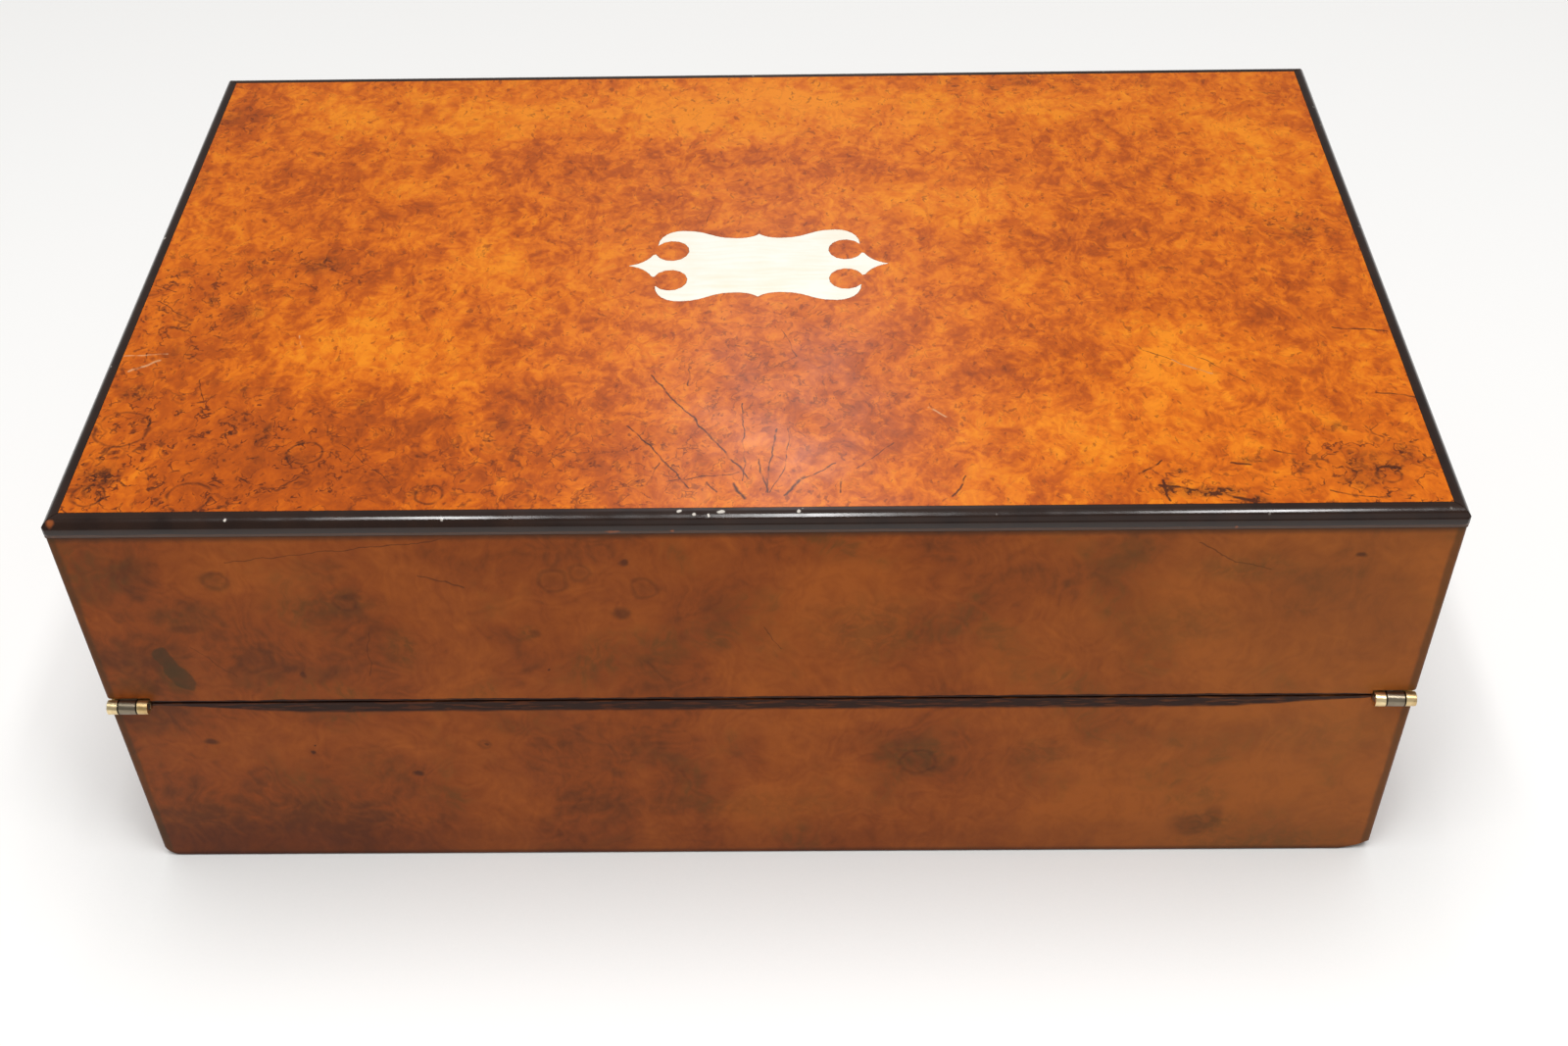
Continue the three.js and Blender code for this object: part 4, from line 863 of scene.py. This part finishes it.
def closed_mesh(name, columns, rows, corner_at):
    """A closed form between two grids. corner_at(column, row, layer) gives each corner's place."""
    shape = bmesh.new()
    layers = [
        [[shape.verts.new(corner_at(column, row, layer)) for row in rows] for column in columns]
        for layer in (0, 1)
    ]
    for grid in layers:
        for i in range(len(columns) - 1):
            for j in range(len(rows) - 1):
                shape.faces.new((grid[i][j], grid[i + 1][j], grid[i + 1][j + 1], grid[i][j + 1]))
    rims = [
        [line[0] for line in grid] + grid[-1][1:] + [line[-1] for line in grid[-2::-1]] + grid[0][-2:0:-1]
        for grid in layers
    ]
    for k in range(len(rims[0])):
        after = (k + 1) % len(rims[0])
        shape.faces.new((rims[0][k], rims[1][k], rims[1][after], rims[0][after]))
    return finished_mesh(name, shape)


# Worn lower corners of the base. The right one of the hinge side is worn further along the box

CORNER_WEAR = 6
LONG_CORNER_WEAR = 15


def wear_height(x, y):
    """How high the wear reaches over a point of the floor, in millimetres; under 0 where there is none."""
    reach = LONG_CORNER_WEAR if x > 0 and y < 0 else CORNER_WEAR
    near = min(1.0, 1 - (FACE_X - abs(x)) / reach - (FACE_Y - abs(y)) / CORNER_WEAR)
    return CORNER_WEAR * (1 - math.sqrt(1 - near * near)) if near > 0 else -1.0


def kept_inside():
    """A block with its four lower corners worn round, which the base's lowest pieces are cut to."""
    short, long = ([reach * k / 10 for k in range(-2, 12)] for reach in (CORNER_WEAR, LONG_CORNER_WEAR))
    columns = sorted({round(x, 3) for x in [FACE_X - a for a in short + long] + [a - FACE_X for a in short]})
    rows = sorted([FACE_Y - a for a in short] + [a - FACE_Y for a in short])

    def corner_at(x, y, layer):
        return Vector((x, y, TOP_Z if layer else wear_height(x, y))) * MM

    return bpy.data.objects.new("kept_inside", closed_mesh("kept_inside", columns, rows, corner_at))


KEPT_INSIDE = kept_inside()
WORN_NODES = [f"base_{side}_veneer" for side in ("hinge", "lock", "left", "right")] + ["base_bottom_board"]
for name in WORN_NODES:
    wear = NODES[name].modifiers.new("worn_corners", "BOOLEAN")
    wear.operation = "INTERSECT"
    wear.solver = "EXACT"
    wear.object = KEPT_INSIDE
    NODES[name].modifiers.move(len(NODES[name].modifiers) - 1, 0)


# Leathers and hinge cloths

def add_piece(name, mesh, finish, body):
    mesh.materials.append(finish)
    piece = shown(name, mesh)
    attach(piece, body)
    return piece


def relief_sheet(name, face, places_x, places_s, top, thickness, depth_at):
    """A closed thin sheet whose visible face lies towards the split, at the rise top, and is lowered by
    depth_at(x, s) at each grid point. The face is -1 in the base and 1 in the lid."""
    def corner_at(x, s, layer):
        return from_slope(x, s, face * (top + (thickness if layer else depth_at(x, s))))

    return closed_mesh(name, places_x, places_s, corner_at)


def spaced(low, high, step):
    """Even places from low to high, both included, about a step apart."""
    count = max(1, round((high - low) / step))
    return [low + (high - low) * k / count for k in range(count + 1)]


def with_insets(low, high, insets, step):
    """Places at the insets from both ends, and even places between."""
    between = spaced(low + insets[-1], high - insets[-1], step)[1:-1]
    return [low + inset for inset in insets] + between + [high - inset for inset in reversed(insets)]


# Leathers: their rolled edge, the depth of the tooling, their swell, the rise of the face and the thickness
EDGE_ROLL = 0.9
EDGE_FALL = 0.35
TOOL_DEPTH = 0.12
LEATHER_SWELL = 0.05
LEATHER_TOP = 0.7
LEATHER_THICKNESS = 0.8
EDGE_INSETS = [0.0, 0.15, 0.35, 0.6, EDGE_ROLL]
TOOL_INSETS = EDGE_INSETS + [
    middle + offset
    for middle, width in FILLETS
    for offset in (-width / 2 - 0.08, -width / 2 + 0.02, width / 2 - 0.02, width / 2 + 0.08)
]

# Cloth strips: the rise of the face, thickness, half length, edges and the crease that they bend along
CLOTH_TOP = 0.6
CLOTH_THICKNESS = 0.6
CLOTH_HALF = 151.7
CLOTH_ROUND = 0.18
CLOTH_EDGE = 0.4
CLOTH_INSETS = [0.0, 0.12, CLOTH_EDGE]
CLOTH_PUCKER = 0.05
CREASE_DEPTH = 0.3
CREASE_REACH = 1.6


def tooled_depth(inset):
    """How far the leather's face is pressed in at an inset from its edge."""
    if inset < EDGE_ROLL:
        return EDGE_FALL * (1 - inset / EDGE_ROLL) ** 2
    for middle, width in FILLETS:
        if abs(inset - middle) < width / 2:
            return TOOL_DEPTH
    return 0.0


def add_leather(half_name, face, spans, body, finish):
    half, (low, high) = spans
    name = f"{half_name}_leather"
    node = f"{half_name}_flap_leather"

    def depth_at(x, s):
        inset = min(half - abs(x), s - low, high - s)
        swell = noise.noise(Vector((x, s, face * 50)) / 28) * LEATHER_SWELL
        return tooled_depth(inset) + swell * min(1.0, inset / 20)

    places_x = with_insets(-half, half, TOOL_INSETS, 8)
    places_s = with_insets(low, high, TOOL_INSETS, 8)
    mesh = relief_sheet(name, face, places_x, places_s, LEATHER_TOP, LEATHER_THICKNESS, depth_at)
    piece = add_piece(name, mesh, finish, body)
    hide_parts(node)
    soften(piece, 0)


def add_cloth(half_name, face, low, high, crease, body):
    name = f"{half_name}_cloth_strip"
    node = f"{half_name}_flap_hinge_strip"

    def depth_at(x, s):
        inset = min(CLOTH_HALF - abs(x), s - low, high - s)
        edge = CLOTH_ROUND * max(0.0, 1 - inset / CLOTH_EDGE) ** 2
        from_crease = max(0.0, 1 - abs(s - crease) / CREASE_REACH)
        pucker = noise.noise(Vector((x / 9, s / 4, face * 10))) * CLOTH_PUCKER
        return edge + CREASE_DEPTH * from_crease ** 2 + pucker * min(1.0, inset / 2)

    places_x = with_insets(-CLOTH_HALF, CLOTH_HALF, CLOTH_INSETS, 4)
    places_s = with_insets(low, high, CLOTH_INSETS, 0.8)
    mesh = relief_sheet(name, face, places_x, places_s, CLOTH_TOP, CLOTH_THICKNESS, depth_at)
    piece = add_piece(name, mesh, FINISHES["hinge_cloth"], body)
    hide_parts(node)
    soften(piece, 0)


add_leather("upper", -1, UPPER_LEATHER, "base", FINISHES["writing_leather"])
add_leather("lower", 1, LOWER_LEATHER, "lid", LOWER_LEATHER_FINISH)
add_cloth("upper", -1, 7.09, 21.69, 13.4, "base")
add_cloth("lower", 1, 7.3, 22.76, 14.0, "lid")


# Screws and pins

SCREW_FACETS = 28


def slotted_head(name, radius, shank_radius, depth, slot_width, slot_depth, dome):
    """A countersunk head with a slot. Its rim lies at 0, and its middle stands up by the dome."""
    profile = (
        (0.0, dome), (radius * 0.4, dome * 0.85), (radius * 0.75, dome * 0.45), (radius * 0.94, 0.0),
        (radius, -depth * 0.08), (shank_radius, -depth), (0.0, -depth),
    )
    shape = bmesh.new()
    rings = []
    for ring_radius, rise in profile:
        angles = [math.tau * k / SCREW_FACETS for k in range(SCREW_FACETS if ring_radius else 1)]
        places = [Vector((ring_radius * math.cos(a), ring_radius * math.sin(a), rise)) for a in angles]
        rings.append([shape.verts.new(place * MM) for place in places])
    for inner, outer in zip(rings, rings[1:]):
        for k in range(SCREW_FACETS):
            after = (k + 1) % SCREW_FACETS
            turns = ((inner, k), (outer, k), (outer, after), (inner, after))
            corners = [ring[turn % len(ring)] for ring, turn in turns]
            shape.faces.new(list(dict.fromkeys(corners)))
    cutter = bmesh.new()
    size = Matrix.Diagonal((radius * 3 * MM, slot_width * MM, 2 * slot_depth * MM, 1))
    bmesh.ops.create_cube(cutter, size=1, matrix=Matrix.Translation((0, 0, dome * MM)) @ size)
    blank = shown("slot_blank", finished_mesh(name, shape))
    tool = shown("slot_tool", finished_mesh("slot_cutter", cutter))
    cut = blank.modifiers.new("slot", "BOOLEAN")
    cut.object = tool
    cut.solver = "EXACT"
    scene_now = bpy.context.evaluated_depsgraph_get()
    result = bpy.data.meshes.new_from_object(blank.evaluated_get(scene_now))
    result.name = name
    for helper in (blank, tool):
        bpy.data.objects.remove(helper)
    return result


def seat_on_slope(piece, x, s, n, outward, turn):
    """Puts a piece at a place of the slope, its +Z along the slope's normal times outward."""
    up = Vector((0, -SLOPE_SINE, SLOPE_COSINE)) * outward
    across = Vector((1, 0, 0))
    basis = Matrix((across, up.cross(across), up)).transposed().to_4x4()
    piece.matrix_world = Matrix.Translation(from_slope(x, s, n)) @ basis @ Matrix.Rotation(turn, 4, "Z")


# Heads: radius, radius and depth of the shank's end, width and depth of the slot, dome
LEAF_SCREW = slotted_head("leaf_screw_head", 2.12, 1.1, 1.1, 0.5, 0.55, 0.0)
PLATE_SCREW = slotted_head("plate_screw_head", 1.7, 0.9, 1.0, 0.42, 0.4, 0.05)
GUIDE_PIN = slotted_head("guide_pin_head", 0.95, 0.5, 0.8, 0.24, 0.22, 0.12)


def add_screw(name, head, x, s, face, rise, turn, body, finish_slot):
    """A head in the face of a plate: the rise is the plate's own face, towards the split."""
    piece = add_piece(name, head.copy(), FINISHES[finish_slot], body)
    seat_on_slope(piece, x, s, face * rise, -face, math.radians(turn))
    piece.modifiers.new("smooth", "NODES").node_group = SMOOTH


SIDES = ((-1, "left"), (1, "right"))
LEAF_SCREW_RISE = HALF_GAP + 0.04
for face, body in ((-1, "base"), (1, "lid")):
    for sign, side_name in SIDES:
        for number, share in enumerate(LEAF_SCREW_SHARES):
            name = f"{side_name}_{body}_leaf_screw_{number + 1}"
            turn = 37 * number + 53 * sign + 20 * face
            s = share * LEAF_LENGTH
            add_screw(name, LEAF_SCREW, sign * BARREL_X, s, face, LEAF_SCREW_RISE, turn, body, "hinge_brass")

# Heads in the plates of the lock and the catch: name, head, distance from the middle, place up the slope,
# face, rise, turn, and the turn that is opposite on the other side
WORKS_HEADS = (
    ("lock_plate_screw", PLATE_SCREW, 20.5, 213.2, -1, 0.42, 25, 60),
    ("link_plate_screw", PLATE_SCREW, 12.0, 213.5, 1, 0.42, 70, 35),
    ("guide_pin_1", GUIDE_PIN, 5.6, 180.2, 1, 0.6, 0, 30),
    ("guide_pin_2", GUIDE_PIN, 5.6, 189.2, 1, 0.6, 40, 30),
)
for sign, side_name in SIDES:
    for name, head, aside, s, face, rise, turn, side_turn in WORKS_HEADS:
        body = "base" if face < 0 else "lid"
        turned = turn + side_turn * sign
        add_screw(f"{side_name}_{name}", head, sign * aside, s, face, rise, turned, body, "fitting_brass")


# Camera, as fitted to the photograph

LENS = 43.82
SENSOR_WIDTH = 36
CAMERA_PLACE = (0.01453, -0.45358, 0.45627)
CAMERA_ANGLES = (46.913, 0.884, 0.282)
camera_data = bpy.data.cameras.new("camera")
camera_data.lens = LENS
camera_data.sensor_width = SENSOR_WIDTH
camera = shown("camera", camera_data)
camera.location = CAMERA_PLACE
camera.rotation_euler = [math.radians(angle) for angle in CAMERA_ANGLES]
bpy.context.scene.camera = camera


# Floor, lamps and world

# How far the glow's shadow reaches, where the glow fades from front to back, its two strengths, and the floor
FLOOR_SHADOW_REACH = 60
FLOOR_FADE = (-300, 900)
FLOOR_GLOW = (0.44, 0.38)
FLOOR_RADIUS = 6000
FLOOR_DROP = 0.02


def floor_finish():
    """Pale floor. Seen directly, mirrored or through glass it is lighter than the lamps make it, except in
    the object's shadow."""
    f = Finish("studio_floor")
    f.colour((0.62, 0.62, 0.61, 1))
    f.roughness(1.0)
    f.setting("Specular IOR Level", 0.0)
    nearby = f.filled("ShaderNodeAmbientOcclusion", {"Distance": FLOOR_SHADOW_REACH * MM})
    path = f.add("ShaderNodeLightPath").outputs
    seen = f.most(path["Is Camera Ray"], path["Is Glossy Ray"], path["Is Transmission Ray"])
    front_glow, back_glow = FLOOR_GLOW
    glow = f.times_plus(f.smooth(f.y, *FLOOR_FADE), back_glow - front_glow, front_glow)
    f.setting("Emission Color", (1, 0.995, 0.985, 1))
    open_share = f.math("POWER", nearby.outputs["AO"], 2.0)
    f.setting("Emission Strength", f.times(seen, glow, open_share))
    return f.material


mesh = bpy.data.meshes.new("floor")
sheet = bmesh.new()
bmesh.ops.create_circle(sheet, cap_ends=True, segments=96, radius=FLOOR_RADIUS * MM)
sheet.to_mesh(mesh)
sheet.free()
mesh.materials.append(floor_finish())
floor = shown("floor", mesh)
floor.location.z = -FLOOR_DROP * MM


# Overhead lamps, which also draw the streaks along the moulding: middle, width, front and back, power
OVERHEAD_LAMPS = (
    (-0.378, 0.09, (-0.85, -0.2), 6.6), (0.012, 0.09, (-1.0, -0.2), 7.6), (0.485, 0.13, (-0.8, -0.25), 7.8),
)
OVERHEAD_HEIGHT = 1.6


def area_lamp(name, place, target, size, power, colour=(1, 1, 1)):
    data = bpy.data.lights.new(name, "AREA")
    data.shape = "RECTANGLE"
    data.size, data.size_y = size
    data.energy = power
    data.color = colour
    lamp = shown(name, data)
    lamp.location = place
    lamp.rotation_euler = (Vector(target) - Vector(place)).to_track_quat("-Z", "Y").to_euler()


area_lamp("glare", (-0.02, 1.45, 1.51), (0.0, 0.0, 0.1), (0.14, 0.24), 2.2, (1.0, 0.93, 0.97))
area_lamp("front_fill", (0.3, -1.8, 0.9), (0.0, 0.0, 0.05), (1.2, 1.2), 1.8)
for middle, width, (front, back), power in OVERHEAD_LAMPS:
    y = (front + back) / 2
    area_lamp("overhead", (middle, y, OVERHEAD_HEIGHT), (middle, y, 0.0), (width, back - front), power)

world = bpy.data.worlds.new("studio_world")
bpy.context.scene.world = world
world.use_nodes = True
background = world.node_tree.nodes["Background"]
background.inputs["Color"].default_value = (1, 0.99, 0.97, 1)
background.inputs["Strength"].default_value = 0.3
bpy.context.scene.view_settings.view_transform = "Standard"
